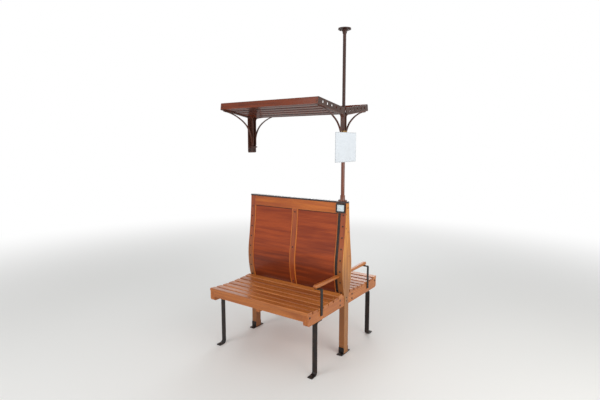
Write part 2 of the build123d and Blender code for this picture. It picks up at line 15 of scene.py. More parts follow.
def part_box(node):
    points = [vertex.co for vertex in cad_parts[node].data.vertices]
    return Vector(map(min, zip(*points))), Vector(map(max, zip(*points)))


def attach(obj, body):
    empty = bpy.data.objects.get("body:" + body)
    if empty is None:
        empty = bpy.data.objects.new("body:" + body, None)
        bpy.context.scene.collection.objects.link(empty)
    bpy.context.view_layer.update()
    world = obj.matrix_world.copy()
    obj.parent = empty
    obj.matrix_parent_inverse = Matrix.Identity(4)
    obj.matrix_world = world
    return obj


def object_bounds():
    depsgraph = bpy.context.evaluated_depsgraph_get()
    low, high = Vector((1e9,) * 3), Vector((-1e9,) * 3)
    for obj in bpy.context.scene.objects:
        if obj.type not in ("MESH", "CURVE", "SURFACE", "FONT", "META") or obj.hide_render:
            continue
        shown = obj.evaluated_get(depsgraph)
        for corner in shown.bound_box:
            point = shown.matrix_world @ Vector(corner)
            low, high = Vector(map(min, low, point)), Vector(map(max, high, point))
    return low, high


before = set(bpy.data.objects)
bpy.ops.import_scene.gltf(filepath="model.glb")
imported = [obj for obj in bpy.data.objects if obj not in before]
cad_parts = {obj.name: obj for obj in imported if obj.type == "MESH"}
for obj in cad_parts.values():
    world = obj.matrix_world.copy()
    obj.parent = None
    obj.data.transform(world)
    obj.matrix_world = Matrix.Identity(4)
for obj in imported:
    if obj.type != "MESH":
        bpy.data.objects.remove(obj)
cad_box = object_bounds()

# Finishes and small fittings of a railway carriage double bench with its post and luggage rack.
# Metres, +Z up from the carriage floor. The aisle is at +X, the side wall at -X, and the bench is
# the same on both sides of Y = 0.

log = logging.getLogger("bench")
MM = 0.001
BODY = "root"
UP = Vector((0, 0, 1))
X, Y, Z = range(3)
# How far out a line starts that looks for the surface of a node.
OUTSIDE = 0.7
# Heights that differ by less are the same, and a face whose normal rises more than FLAT is level.
TINY = 0.001 * MM
FLAT = 0.99
SMOOTH_ANGLE = math.radians(35)
# Wood further out than this belongs to the end face of the aisle upright.
END_FACE = cad_box[1].x - 5.5 * MM
RAIL_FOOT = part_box("top_rail")[0].z
# How far the pattern moves on from one node to the next.
PATTERN_STEP = 1.7
# The mean of the noise that the patterns are made of.
MEAN = 0.5

Place: TypeAlias = Vector | tuple[float, float, float]
Term: TypeAlias = "Field | float"


class Way(Enum):
    """A way along an axis, -1 or 1, which prints as the nodes' names have it."""

    def __str__(self) -> str:
        """Give the name in small letters."""
        return self.name.lower()


class Side(Way):
    """The two sides of the bench, as the way in which each faces along Y."""

    NEAR = -1
    FAR = 1


class End(Way):
    """The two ends of the bench, as the way in which each faces along X."""

    AISLE = 1
    WALL = -1


class Slot(Enum):
    """The names of the record's material slots."""

    OAK = "oak"
    BROWN_STEEL = "brown_steel"
    BLACK_IRON = "black_iron"
    BRASS = "collar_brass"
    CARD = "notice_card"
    STEEL = "clamp_steel"


class Element(Enum):
    """What is picked in a mesh, named as its select mode, with the name of its list."""

    FACE = "faces"
    EDGE = "edges"


class Grain(Enum):
    """The way in which the fibres of a board run, as the order of its length, width and depth."""

    UP = (2, 0, 1)
    ACROSS = (0, 1, 2)
    ALONG = (1, 0, 2)


@dataclass(frozen=True)
class Colour:
    """A colour as a screen shows it, in parts from 0 to 255."""

    red: int
    green: int
    blue: int

    def linear(self) -> tuple[float, float, float, float]:
        """Give the colour as a shader takes it, by the sRGB curve."""
        shares = [part / 255 for part in (self.red, self.green, self.blue)]
        return (*[s / 12.92 if s <= 0.04045 else ((s + 0.055) / 1.055) ** 2.4 for s in shares], 1.0)


# The colour of the shade painted under the top rail.
RAIL_SHADE = Colour(38, 17, 9)
DUST = Colour(150, 128, 108)
WHITE = Colour(255, 255, 255).linear()


def math_operator(operation: str, turned: bool = False) -> Callable[..., "Field"]:
    """Make the operator of a Field that stands for a Math node.

    Args:
        operation: The node's operation.
        turned: Whether the other term comes first.

    Returns:
        The operator.
    """

    def work(*terms: Term) -> "Field":
        """Add the node to the graph of the Field, which is the first term."""
        numbered = dict(enumerate(reversed(terms) if turned else terms))
        return terms[0].graph.node("ShaderNodeMath", {"operation": operation}, numbered)

    return work


class Field:
    """A socket of a node graph that takes part in Python sums, where | gives the larger one."""

    def __init__(self, graph: "Graph", socket: bpy.types.NodeSocket) -> None:
        """Wrap a socket.

        Args:
            graph: The graph that the socket belongs to.
            socket: The output socket.
        """
        self.graph = graph
        self.socket = socket

    __add__ = __radd__ = math_operator("ADD")
    __sub__, __rsub__ = math_operator("SUBTRACT"), math_operator("SUBTRACT", turned=True)
    __mul__ = __rmul__ = math_operator("MULTIPLY")
    __truediv__ = math_operator("DIVIDE")
    __mod__ = math_operator("FLOORED_MODULO")
    __pow__ = math_operator("POWER")
    __abs__ = math_operator("ABSOLUTE")
    __floor__ = math_operator("FLOOR")
    __or__ = math_operator("MAXIMUM")


Sides: TypeAlias = tuple[Field, Field, Field]


class Graph:
    """A node tree that is built up node by node."""

    def __init__(self, tree: bpy.types.NodeTree, output: str) -> None:
        """Empty a tree and give it its output.

        Args:
            tree: The node tree of a material or of the surroundings.
            output: The type of its output node.
        """
        self.tree = tree
        self.tree.nodes.clear()
        self.output = self.tree.nodes.new(output)

    def node(
        self,
        kind: str,
        settings: dict | None = None,
        values: dict | None = None,
        output: int | str = 0,
    ) -> Field:
        """Add a node.

        Args:
            kind: The node's type.
            settings: Its properties, such as a Math node's operation.
            values: A value or a Field for each socket, by the socket's name or number.
            output: Name or number of the output that is wanted.

        Returns:
            The output as a Field.
        """
        made = self.tree.nodes.new(kind)
        for name, value in (settings or {}).items():
            setattr(made, name, value)
        for key, value in (values or {}).items():
            self.feed(made.inputs[key], value)
        return Field(self, made.outputs[output])

    def feed(self, socket: bpy.types.NodeSocket, value: "Field | float | tuple") -> None:
        """Link a Field to a socket, or set the socket's own value.

        Args:
            socket: The input socket.
            value: The Field, or the value.
        """
        if isinstance(value, Field):
            self.tree.links.new(value.socket, socket)
        else:
            socket.default_value = value


class Recipe(Graph):
    """A material with one shader."""

    # The sockets of a Mix node that mixes colours, by number.
    MIX_FACTOR, MIX_A, MIX_B, MIX_RESULT = 0, 6, 7, 2
    BEVEL_SAMPLES = 6
    # The likeness of a rounded normal to the flat one at which an edge is fully worn.
    WORN_EDGE = 0.82

    def __init__(self, name: str) -> None:
        """Start a material.

        Args:
            name: The material's name.
        """
        self.material = bpy.data.materials.new(name)
        self.material.use_nodes = True
        super().__init__(self.material.node_tree, "ShaderNodeOutputMaterial")
        surface = self.node("ShaderNodeBsdfPrincipled")
        self.shader = surface.socket.node
        self.feed(self.output.inputs[0], surface)

    def set(self, **sockets: "Field | float | tuple") -> None:
        """Feed the shader's sockets, named with _ for a space."""
        for name, value in sockets.items():
            self.feed(self.shader.inputs[name.replace("_", " ")], value)

    def place(self) -> Field:
        """Give the place on the piece, in metres."""
        return self.node("ShaderNodeTexCoord", output="Object")

    def split(self, vector: Field) -> list[Field]:
        """Give the three parts of a vector."""
        return [self.node("ShaderNodeSeparateXYZ", None, {0: vector}, part) for part in range(3)]

    def join(self, x: Term, y: Term, z: Term) -> Field:
        """Give a vector of three parts."""
        return self.node("ShaderNodeCombineXYZ", None, {0: x, 1: y, 2: z})

    def noise(self, vector: Field, scale: float, detail: float = 2.0, warp: float = 0.0) -> Field:
        """Give cloudy noise from 0 to 1 with a mean of a half."""
        sizes = {"Vector": vector, "Scale": scale, "Detail": detail, "Distortion": warp}
        return self.node("ShaderNodeTexNoise", None, sizes)

    def ease(self, value: Field, low: float, high: float) -> Field:
        """Give a smooth step from 0 at low to 1 at high. High may be the smaller one."""
        limits = {"Value": value, "From Min": low, "From Max": high}
        return self.node("ShaderNodeMapRange", {"interpolation_type": "SMOOTHSTEP"}, limits)

    def mix(self, factor: Term, first: "Field | tuple", second: "Field | tuple") -> Field:
        """Give a colour between two."""
        colours = {self.MIX_FACTOR: factor, self.MIX_A: first, self.MIX_B: second}
        return self.node("ShaderNodeMix", {"data_type": "RGBA"}, colours, self.MIX_RESULT)

    def soft_edges(self, radius: float) -> Field:
        """Give the normal of a surface whose edges are rounded to a radius."""
        return self.node("ShaderNodeBevel", {"samples": self.BEVEL_SAMPLES}, {"Radius": radius})

    def edges(self, rounded: Field, open_face: float = 0.985) -> Field:
        """Give a mask that is 1 along the edges and 0 on the open face.

        Args:
            rounded: The normal that soft_edges gave.
            open_face: The likeness of that normal to the flat one from which a spot is open face.

        Returns:
            The mask.
        """
        flat = self.node("ShaderNodeNewGeometry", output="True Normal")
        dot = {"operation": "DOT_PRODUCT"}
        likeness = self.node("ShaderNodeVectorMath", dot, {0: rounded, 1: flat}, "Value")
        return self.ease(likeness, open_face, self.WORN_EDGE)

    def bump(self, height: Field, distance: float, normal: Field) -> Field:
        """Give a normal that follows a height, in metres for a height of 1."""
        relief = {"Height": height, "Distance": distance, "Normal": normal}
        return self.node("ShaderNodeBump", None, relief)


@dataclass(frozen=True)
class Finish:
    """What the surface of a piece is finished with."""

    name: str

    def make(self, seed: float = 0.0) -> bpy.types.Material:
        """Make the material.

        Args:
            seed: Shifts the pattern, so that two pieces differ.

        Returns:
            The material.
        """
        recipe = Recipe(f"{self.name}_{seed:g}")
        self.mix_up(recipe, seed)
        return recipe.material

    def mix_up(self, recipe: Recipe, seed: float) -> None:
        """Fill the recipe in. Each kind of finish has its own."""
        raise NotImplementedError


@dataclass(frozen=True)
class Timber(Finish):
    """Varnished wood with growth rings, streaks, pores, knots and worn edges, and painted shade
    where a piece asks for it.

    The pattern is solid, so the end of a board shows its rings and its faces show streaks.

    Attributes:
        grain: The way in which the fibres run.
        pale: The lighter colour of the wood.
        deep: The darker colour of the wood.
        vein: The colour of the rings' rims, pores and knots.
        worn: The colour of rubbed edges.
        ring: The width of a growth ring.
        figure: How strongly rings and pores show.
        rough: The roughness of the varnish.
        coat: The weight of its glossy top coat.
        shine: How strongly the varnish reflects.
        edge: The radius to which edges look rounded.
        aged: The colour towards the bottom, if there is one; on the panels it is painted shade.
        aged_from: The height at which that part starts.
        aged_to: The height at which it is full.
        grime_z: The height of the rail under which shade is painted, or 0.
        dust: How much dust lies on faces that look up.
        flank: How strongly shade is painted on the faces that look sideways.
        stain: The lighter and the darker shade painted on all but the end faces, if there is one.
        pitch: The distance from board to board where a node holds several, or 0.
        first: Where the first of those boards starts.
        knots: Where the knots are.
    """

    grain: Grain = Grain.UP
    pale: Colour = Colour(222, 142, 48)
    deep: Colour = Colour(186, 96, 30)
    vein: Colour = Colour(96, 42, 16)
    worn: Colour = Colour(236, 176, 104)
    ring: float = 7 * MM
    figure: float = 0.45
    rough: float = 0.36
    coat: float = 0.25
    shine: float = 0.3
    edge: float = 1.6 * MM
    aged: Colour | None = None
    aged_from: float = 0.95
    aged_to: float = 0.50
    grime_z: float = 0.0
    dust: float = 0.0
    flank: float = 0.0
    stain: tuple[Colour, Colour] | None = None
    pitch: float = 0.0
    first: float = 0.0
    knots: tuple[Place, ...] = ()

    # How often each pattern repeats in a metre, along and across the fibres.
    SWEEPS, STREAKS, CLOUDS, PORES = (1.3, 7.0), (2.2, 46.0), (2.0, 9.0), (24.0, 700.0)
    # How many finer layers streaks and clouds have, and how far the clouds are bent.
    STREAK_DETAIL, CLOUD_DETAIL, CLOUD_WARP = 4.0, 3.0, 0.6
    # How far along the wood of the next board is taken from, and how much its tone differs.
    BOARD_SHIFT, BOARD_TONE = 5.0, 0.22
    # Where each mask starts and where it is full.
    TONED, OPEN_PORES, RUBBED = (0.34, 0.66), (0.56, 0.68), (0.36, 0.56)
    UPWARD, SIDEWAYS, SETTLED = (0.7, 0.95), (0.75, 0.45), (0.2, 0.7)
    # How far each of these hides the wood under it.
    GRIME_COVER, AGED_COVER, KNOT_COVER, PORE_COVER, RUBBED_COVER = 0.9, 0.85, 0.8, 0.5, 0.6
    # How far below the rail the painted shade starts and is full, and how ragged its limit is.
    GRIME_DROPS, GRIME_RAGGED = (11 * MM, 2 * MM), 6 * MM
    # Where the pith lies in width and depth, how far it sweeps, and how far it differs by piece.
    PITH, PITH_SWEEP, PITH_SHIFT = (0.03, 0.05), (0.05, 0.03), 0.02
    RING_SLANT, RING_SHARPNESS = 0.8, 2.5
    AGED_RAGGED = 0.5
    # The radii at which a knot starts and is full, how ragged they are, and how fine that is.
    KNOT_RADII, KNOT_RAGGED, KNOT_GRAIN = (9 * MM, 3 * MM), 4 * MM, 160.0
    # How much clouds and pores roughen the varnish, and the roughness of its top coat.
    CLOUD_ROUGH, PORE_ROUGH, COAT_ROUGH = 0.16, 0.08, 0.12
    # The relief of a height of 1, how high streaks stand, and how deep pores and rims lie.
    RELIEF, STREAK_RISE, PORE_DEPTH, RIM_DEPTH = 0.25 * MM, 0.6, 0.5, 0.4

    def mix_up(self, recipe: Recipe, seed: float) -> None:
        """Fill in colour, gloss and relief of the wood.

        Args:
            recipe: The material to fill in.
            seed: Shifts the pattern.
        """
        place = recipe.place()
        parts = recipe.split(place)
        length, width, depth = (parts[axis] for axis in self.grain.value)
        tone: Field | float = MEAN
        if self.pitch:
            tone = self._board(recipe, width, seed)
            length = length + tone * self.BOARD_SHIFT
        sides = (length, width, depth)
        late = self._rings(recipe, sides, seed)
        streaks = self._fibres(recipe, sides, self.STREAKS, seed, self.STREAK_DETAIL)
        cloudy = (self.CLOUDS, -seed, self.CLOUD_DETAIL, self.CLOUD_WARP)
        clouds = self._fibres(recipe, sides, *cloudy)
        pores = recipe.ease(self._fibres(recipe, sides, self.PORES), *self.OPEN_PORES)
        mixed = streaks * 0.5 + clouds * 0.5 + (tone - MEAN) * self.BOARD_TONE
        body = recipe.ease(mixed, *self.TONED)
        colour = recipe.mix(body, self.deep.linear(), self.pale.linear())
        # Shade is painted on all but the end faces.
        if self.stain is not None:
            colour = self._stain(recipe, colour, body, parts[X])
        # Darker towards the bottom; on the panels this is painted shade.
        if self.aged is not None:
            colour = self._age(recipe, colour, parts[Z], streaks)
        colour = recipe.mix(late * self.figure, colour, self.vein.linear())
        colour = recipe.mix(pores * (self.PORE_COVER * self.figure), colour, self.vein.linear())
        # Shade is painted in a ragged band just under the rail.
        if self.grime_z:
            start, full = (self.grime_z - drop for drop in self.GRIME_DROPS)
            ragged = parts[Z] + (streaks - MEAN) * self.GRIME_RAGGED
            rail_shade = recipe.ease(ragged, start, full) * self.GRIME_COVER
            colour = recipe.mix(rail_shade, colour, RAIL_SHADE.linear())
        # Dust is laid on faces that look up, and shade is painted on faces that look sideways.
        if self.dust or self.flank:
            upward = recipe.split(recipe.node("ShaderNodeNewGeometry", output="True Normal"))[Z]
            settled = recipe.ease(upward, *self.UPWARD) * recipe.ease(clouds, *self.SETTLED)
            colour = recipe.mix(settled * self.dust, colour, DUST.linear())
            sideways = recipe.ease(abs(upward), *self.SIDEWAYS)
            colour = recipe.mix(sideways * self.flank, colour, self.vein.linear())
        for knot in self.knots:
            colour = self._knot(recipe, colour, place, knot)
        rounded = recipe.soft_edges(self.edge)
        rubbed = recipe.edges(rounded) * recipe.ease(clouds, *self.RUBBED)
        height = streaks * self.STREAK_RISE - pores * self.PORE_DEPTH - late * self.RIM_DEPTH
        recipe.set(
            Base_Color=recipe.mix(rubbed * self.RUBBED_COVER, colour, self.worn.linear()),
            Roughness=self.rough + self.CLOUD_ROUGH * (clouds - MEAN) + self.PORE_ROUGH * pores,
            Coat_Weight=self.coat * (1.0 - self.RUBBED_COVER * rubbed),
            Coat_Roughness=self.COAT_ROUGH,
            Specular_IOR_Level=self.shine,
            Normal=recipe.bump(height, self.RELIEF, rounded),
        )

    def _fibres(
        self,
        recipe: Recipe,
        sides: Sides,
        stretch: tuple[float, float],
        shift: float = 0.0,
        detail: float = 2.0,
        warp: float = 0.0,
    ) -> Field:
        """Give noise that is drawn out along the fibres.

        Args:
            recipe: The material.
            sides: The place along, across and into the board.
            stretch: How often the noise repeats in a metre, along and across the fibres.
            shift: Moves the noise, so that two pieces differ.
            detail: How many finer layers it has.
            warp: How far it is bent out of line.

        Returns:
            The noise, from 0 to 1.
        """
        (length, width, depth), (along, across) = sides, stretch
        drawn = recipe.join(length * along, width * across, depth * across + shift)
        return recipe.noise(drawn, 1.0, detail, warp)

    def _rings(self, recipe: Recipe, sides: Sides, seed: float) -> Field:
        """Give a mask that grows to 1 at the dark rim of each growth ring.

        Args:
            recipe: The material.
            sides: The place along, across and into the board.
            seed: Moves the pith, so that two pieces differ.

        Returns:
            The mask.
        """
        sweep = self._fibres(recipe, sides, self.SWEEPS, seed)
        length, width, depth = sides
        shifts = (self.PITH_SHIFT * math.sin(seed), self.PITH_SHIFT * math.cos(seed))
        width, depth = (
            place + (sweep * swept + pith + shift)
            for place, swept, pith, shift in zip((width, depth), self.PITH_SWEEP, self.PITH, shifts)
        )
        radius = (width * width + depth * depth) ** 0.5
        return ((radius / self.ring + length * self.RING_SLANT) % 1.0) ** self.RING_SHARPNESS

    def _board(self, recipe: Recipe, width: Field, seed: float) -> Field:
        """Give a number from 0 to 1 that differs from board to board."""
        number = {"W": math.floor((abs(width) - self.first) / self.pitch) + (seed + 0.5)}
        return recipe.node("ShaderNodeTexWhiteNoise", {"noise_dimensions": "1D"}, number, "Value")

    def _stain(self, recipe: Recipe, colour: Field, body: Field, across: Field) -> Field:
        """Give the colour with shade painted on all but the end faces of the bench."""
        side_shaded = recipe.mix(body, self.stain[1].linear(), self.stain[0].linear())
        return recipe.mix(recipe.ease(abs(across), END_FACE, END_FACE - MM), colour, side_shaded)

    def _age(self, recipe: Recipe, colour: Field, height: Field, streaks: Field) -> Field:
        """Give the colour darker towards the bottom; on the panels this is painted shade.

        Args:
            recipe: The material.
            colour: The colour of the wood so far.
            height: The height on the piece.
            streaks: The noise that makes the limit ragged.

        Returns:
            The colour.
        """
        ragged = height + (streaks - MEAN) * self.AGED_RAGGED
        low = recipe.ease(ragged, self.aged_from, self.aged_to)
        return recipe.mix(low * self.AGED_COVER, colour, self.aged.linear())

    def _knot(self, recipe: Recipe, colour: Field, place: Field, knot: Place) -> Field:
        """Give the colour with a small dark knot in it.

        Args:
            recipe: The material.
            colour: The colour of the wood so far.
            place: The place on the piece.
            knot: Where the knot is.

        Returns:
            The colour.
        """
        spots = {0: place, 1: knot}
        away = recipe.node("ShaderNodeVectorMath", {"operation": "DISTANCE"}, spots, "Value")
        ragged = away + (recipe.noise(place, self.KNOT_GRAIN) - MEAN) * self.KNOT_RAGGED
        dark = recipe.ease(ragged, *self.KNOT_RADII) * self.KNOT_COVER
        return recipe.mix(dark, colour, self.vein.linear())


@dataclass(frozen=True)
class Paint(Finish):
    """Brushed gloss paint on iron, chipped along its edges."""

    body: Colour = Colour(122, 68, 48)
    shade: Colour = Colour(100, 54, 38)
    chip: Colour = Colour(150, 104, 84)
    rough: float = 0.30
    coat: float = 0.30
    shine: float = 0.35
    edge: float = 1.0 * MM
    chips: float = 0.7

    # How often the brush marks repeat in a metre, across and up, and their finer layers.
    BRUSHED, BRUSH_DETAIL = (120.0, 9.0), 3.0
    # How often clouds, grit and flakes repeat in a metre, and how many finer layers they have.
    CLOUDS, GRIT, FLAKES = (9.0, 3.0), (420.0, 2.0), (60.0, 3.0)
    # Where clouds and chips start and are full, and the likeness to flat that has no chips.
    CLOUDED, CHIPPED, CHIP_FACE = (0.25, 0.75), (0.46, 0.62), 0.93
    # How much clouds and chips roughen the paint, and the roughness of its gloss.
    CLOUD_ROUGH, CHIP_ROUGH, COAT_ROUGH = 0.14, 0.2, 0.10
    # The relief of a height of 1, and how high brush marks and grit stand.
    RELIEF, BRUSH_RISE, GRIT_RISE = 0.10 * MM, 0.5, 0.12

    def mix_up(self, recipe: Recipe, seed: float) -> None:
        """Fill in colour, gloss and relief of the paint.

        Args:
            recipe: The material to fill in.
            seed: Shifts the pattern.
        """
        place = recipe.place()
        x, y, z = recipe.split(place)
        across, up = self.BRUSHED
        drawn = recipe.join(x * across, y * across, z * up + seed)
        brushed = recipe.noise(drawn, 1.0, self.BRUSH_DETAIL)
        clouds = recipe.noise(recipe.join(x, y, z + seed), *self.CLOUDS)
        grit = recipe.noise(recipe.join(x, y, z - seed), *self.GRIT)
        clouded = recipe.ease(clouds, *self.CLOUDED)
        colour = recipe.mix(clouded, self.shade.linear(), self.body.linear())
        rounded = recipe.soft_edges(self.edge)
        flakes = recipe.ease(recipe.noise(place, *self.FLAKES), *self.CHIPPED)
        chipped = recipe.edges(rounded, self.CHIP_FACE) * flakes
        colour = recipe.mix(chipped * self.chips, colour, self.chip.linear())
        height = brushed * self.BRUSH_RISE + grit * self.GRIT_RISE - chipped
        recipe.set(
            Base_Color=colour,
            Roughness=self.rough + self.CLOUD_ROUGH * (clouds - MEAN) + self.CHIP_ROUGH * chipped,
            Coat_Weight=self.coat * (1.0 - chipped),
            Coat_Roughness=self.COAT_ROUGH,
            Specular_IOR_Level=self.shine,
            Normal=recipe.bump(height, self.RELIEF, rounded),
        )


@dataclass(frozen=True)
class Metal(Finish):
    """Bare or blackened metal with tarnish and rubbed edges."""

    bright: Colour = Colour(160, 124, 70)
    tarnish: Colour = Colour(98, 71, 40)
    rubbed: Colour = Colour(204, 174, 122)
    metallic: float = 1.0
    rough: float = 0.34
    edge: float = 0.8 * MM

    # How often clouds and grit repeat in a metre, and how many finer layers they have.
    CLOUDS, GRIT = (34.0, 4.0), (520.0, 2.0)
    # Where the tarnish starts and is full, and how much less metallic it is.
    DULLED, DULL_LOSS = (0.42, 0.66), 0.35
    # How far rubbed edges show.
    RUBBED_COVER = 0.7
    # How much tarnish and grit roughen the metal, and how much wear smooths it.
    DULL_ROUGH, GRIT_ROUGH, WORN_SMOOTH = 0.2, 0.1, 0.1
    # The relief of a height of 1, and how high grit and clouds stand.
    RELIEF, GRIT_RISE, CLOUD_RISE = 0.15 * MM, 0.5, 0.5

    def mix_up(self, recipe: Recipe, seed: float) -> None:
        """Fill in colour, gloss and relief of the metal.

        Args:
            recipe: The material to fill in.
            seed: Shifts the pattern.
        """
        x, y, z = recipe.split(recipe.place())
        shifted = recipe.join(x, y, z + seed)
        clouds = recipe.noise(shifted, *self.CLOUDS)
        grit = recipe.noise(shifted, *self.GRIT)
        rounded = recipe.soft_edges(self.edge)
        worn = recipe.edges(rounded)
        dull = recipe.ease(clouds, *self.DULLED)
        colour = recipe.mix(dull, self.bright.linear(), self.tarnish.linear())
        colour = recipe.mix(worn * self.RUBBED_COVER, colour, self.rubbed.linear())
        roughened = self.rough + self.DULL_ROUGH * dull + self.GRIT_ROUGH * (grit - MEAN)
        height = grit * self.GRIT_RISE + clouds * self.CLOUD_RISE
        recipe.set(
            Base_Color=colour,
            Metallic=self.metallic - self.DULL_LOSS * self.metallic * dull,
            Roughness=roughened - self.WORN_SMOOTH * worn,
            Normal=recipe.bump(height, self.RELIEF, rounded),
        )


@dataclass(frozen=True)
class Sheet(Finish):
    """Pale enamel or laminated card, a little yellowed and soiled at the rim."""

    face: Colour = Colour(222, 230, 236)
    soiled: Colour = Colour(196, 196, 188)
    rough: float = 0.30
    coat: float = 0.4
    edge: float = 0.8 * MM

    # How often clouds and waves repeat in a metre, and how many finer layers they have.
    CLOUDS, WAVES = (14.0, 4.0), (8.0, 1.0)
    # Where the soil on the open face starts and is full, and how far face and rim are soiled.
    SOILED, FACE_COVER, RIM_COVER = (0.5, 0.8), 0.35, 0.7
    # How much clouds roughen the sheet, the roughness of its gloss, and the rim's loss of gloss.
    CLOUD_ROUGH, COAT_ROUGH, RIM_LOSS = 0.12, 0.06, 0.5
    # The relief of a height of 1, and how high the clouds stand beside the waves.
    RELIEF, CLOUD_RISE = 0.5 * MM, 0.05

    def mix_up(self, recipe: Recipe, seed: float) -> None:
        """Fill in colour, gloss and relief of the sheet.

        Args:
            recipe: The material to fill in.
            seed: Shifts the pattern.
        """
        x, y, z = recipe.split(recipe.place())
        shifted = recipe.join(x, y + seed, z)
        clouds = recipe.noise(shifted, *self.CLOUDS)
        waves = recipe.noise(shifted, *self.WAVES)
        rounded = recipe.soft_edges(self.edge)
        rim = recipe.edges(rounded)
        soil = recipe.ease(clouds, *self.SOILED) * self.FACE_COVER | rim * self.RIM_COVER
        recipe.set(
            Base_Color=recipe.mix(soil, self.face.linear(), self.soiled.linear()),
            Roughness=self.rough + self.CLOUD_ROUGH * clouds,
            Coat_Weight=self.coat * (1.0 - self.RIM_LOSS * rim),
            Coat_Roughness=self.COAT_ROUGH,
            Normal=recipe.bump(waves + clouds * self.CLOUD_RISE, self.RELIEF, rounded),
        )


# The y and z of the knots in the end face of the aisle upright, and the x of that face.
KNOT_PLACES = ((-0.013, 1.058), (-0.018, 0.955), (0.012, 0.925), (0.030, 0.742))
KNOT_X = 0.450

# The uprights carry painted shade on their side faces.
UPRIGHT_OAK = Timber(
    "upright_oak",
    Grain.UP,
    pale=Colour(230, 158, 72),
    deep=Colour(206, 128, 50),
    vein=Colour(118, 62, 24),
    aged=Colour(150, 98, 52),
    figure=0.34,
    stain=(Colour(172, 82, 36), Colour(138, 58, 26)),
    knots=tuple((KNOT_X, y, z) for y, z in KNOT_PLACES),
)
STILE_OAK = Timber(
    "stile_oak", Grain.UP, pale=Colour(172, 82, 36), deep=Colour(138, 58, 26), figure=0.4
)
RAIL_OAK = Timber(
    "rail_oak",
    Grain.ACROSS,
    pale=Colour(216, 120, 42),
    deep=Colour(166, 74, 22),
    vein=Colour(92, 36, 14),
    figure=0.5,
)
# The panels carry painted shade: a band under the top rail and a darker lower part.
PANEL_VENEER = Timber(
    "panel_veneer",
    Grain.ACROSS,
    pale=Colour(178, 78, 32),
    deep=Colour(138, 52, 20),
    vein=Colour(78, 28, 12),
    worn=Colour(170, 92, 50),
    ring=11 * MM,
    figure=0.3,
    coat=0.15,
    shine=0.2,
    rough=0.36,
    grime_z=RAIL_FOOT,
    aged=Colour(104, 44, 22),
    aged_from=0.86,
    aged_to=0.46,
)
BEAD_OAK = Timber(
    "bead_oak",
    Grain.UP,
    pale=Colour(226, 132, 50),
    deep=Colour(190, 98, 34),
    figure=0.2,
    edge=0.8 * MM,
)
SEAT_OAK = Timber(
    "seat_oak",
    Grain.ACROSS,
    pale=Colour(206, 126, 60),
    deep=Colour(166, 92, 40),
    vein=Colour(96, 48, 20),
    pitch=66.3 * MM,
    first=52 * MM,
    coat=0.3,
)
SEAT_RAIL_OAK = Timber(
    "seat_rail_oak", Grain.ALONG, pale=Colour(200, 122, 56), deep=Colour(168, 90, 38)
)
FRONT_RAIL_OAK = Timber(
    "front_rail_oak", Grain.ACROSS, pale=Colour(196, 118, 54), deep=Colour(160, 86, 36)
)
RACK_MAHOGANY = Timber(
    "rack_mahogany",
    Grain.ACROSS,
    pale=Colour(128, 54, 21),
    deep=Colour(82, 32, 12),
    vein=Colour(40, 16, 7),
    worn=Colour(132, 68, 34),
    ring=6 * MM,
    figure=0.3,
    rough=0.34,
    coat=0.2,
    shine=0.15,
    dust=0.3,
    pitch=64 * MM,
    first=26 * MM,
)
# The slats' side faces carry painted shade.
SLAT_MAHOGANY = replace(RACK_MAHOGANY, name="slat_mahogany", flank=0.85, coat=0.28)
CAP_GLOSS = Timber(
    "cap_gloss",
    Grain.ACROSS,
    pale=Colour(58, 38, 36),
    deep=Colour(40, 26, 25),
    vein=Colour(24, 15, 15),
    worn=Colour(132, 112, 112),
    figure=0.2,
    rough=0.2,
    coat=0.9,
)
POST_BROWN = Paint("post_brown", rough=0.26, coat=0.4)
UPPER_BROWN = Paint(
    "upper_brown",
    body=Colour(70, 40, 31),
    shade=Colour(52, 30, 24),
    chip=Colour(96, 66, 54),
    rough=0.34,
    coat=0.10,
    shine=0.2,
    chips=0.4,
)
BRACKET_BROWN = Paint(
    "bracket_brown",
    body=Colour(98, 60, 47),
    shade=Colour(76, 45, 36),
    chip=Colour(124, 90, 74),
    rough=0.36,
    coat=0.12,
    shine=0.22,
    chips=0.45,
)
END_PLATE_BROWN = Paint(
    "end_plate_brown",
    body=Colour(80, 57, 48),
    shade=Colour(61, 43, 37),
    chip=Colour(108, 86, 76),
    rough=0.42,
    coat=0.10,
    shine=0.2,
    chips=0.4,
)
FRAME_BLACK = Paint(
    "frame_black", body=Colour(34, 24, 24), shade=Colour(24, 17, 17), chip=Colour(84, 68, 60)
)
BLACK_IRON = Metal(
    "black_iron",
    bright=Colour(34, 31, 31),
    tarnish=Colour(50, 37, 30),
    rubbed=Colour(112, 102, 94),
    metallic=0.5,
    rough=0.42,
    edge=1.2 * MM,
)
BOLT_IRON = Metal(
    "bolt_iron",
    bright=Colour(70, 56, 50),
    tarnish=Colour(44, 32, 28),
    rubbed=Colour(150, 138, 130),
    metallic=0.8,
    rough=0.34,
)
BRIGHT_STEEL = Metal(
    "bright_steel",
    bright=Colour(186, 188, 190),
    tarnish=Colour(142, 142, 140),
    rubbed=Colour(220, 222, 224),
)
COLLAR_BRASS = Metal("collar_brass")
SCREW_BRASS = Metal(
    "screw_brass", bright=Colour(176, 140, 84), tarnish=Colour(104, 74, 42), rough=0.38
)
PLATE_ENAMEL = Sheet(
    "plate_enamel",
    face=Colour(214, 228, 234),
    soiled=Colour(168, 172, 168),
    rough=0.22,
    coat=0.7,
)
NOTICE_CARD = Sheet("notice_card", face=Colour(224, 232, 240), soiled=Colour(204, 210, 214))
NOTICE_BOARD = Sheet(
    "notice_board",
    face=Colour(206, 212, 218),
    soiled=Colour(176, 180, 182),
    rough=0.4,
    coat=0.1,
)

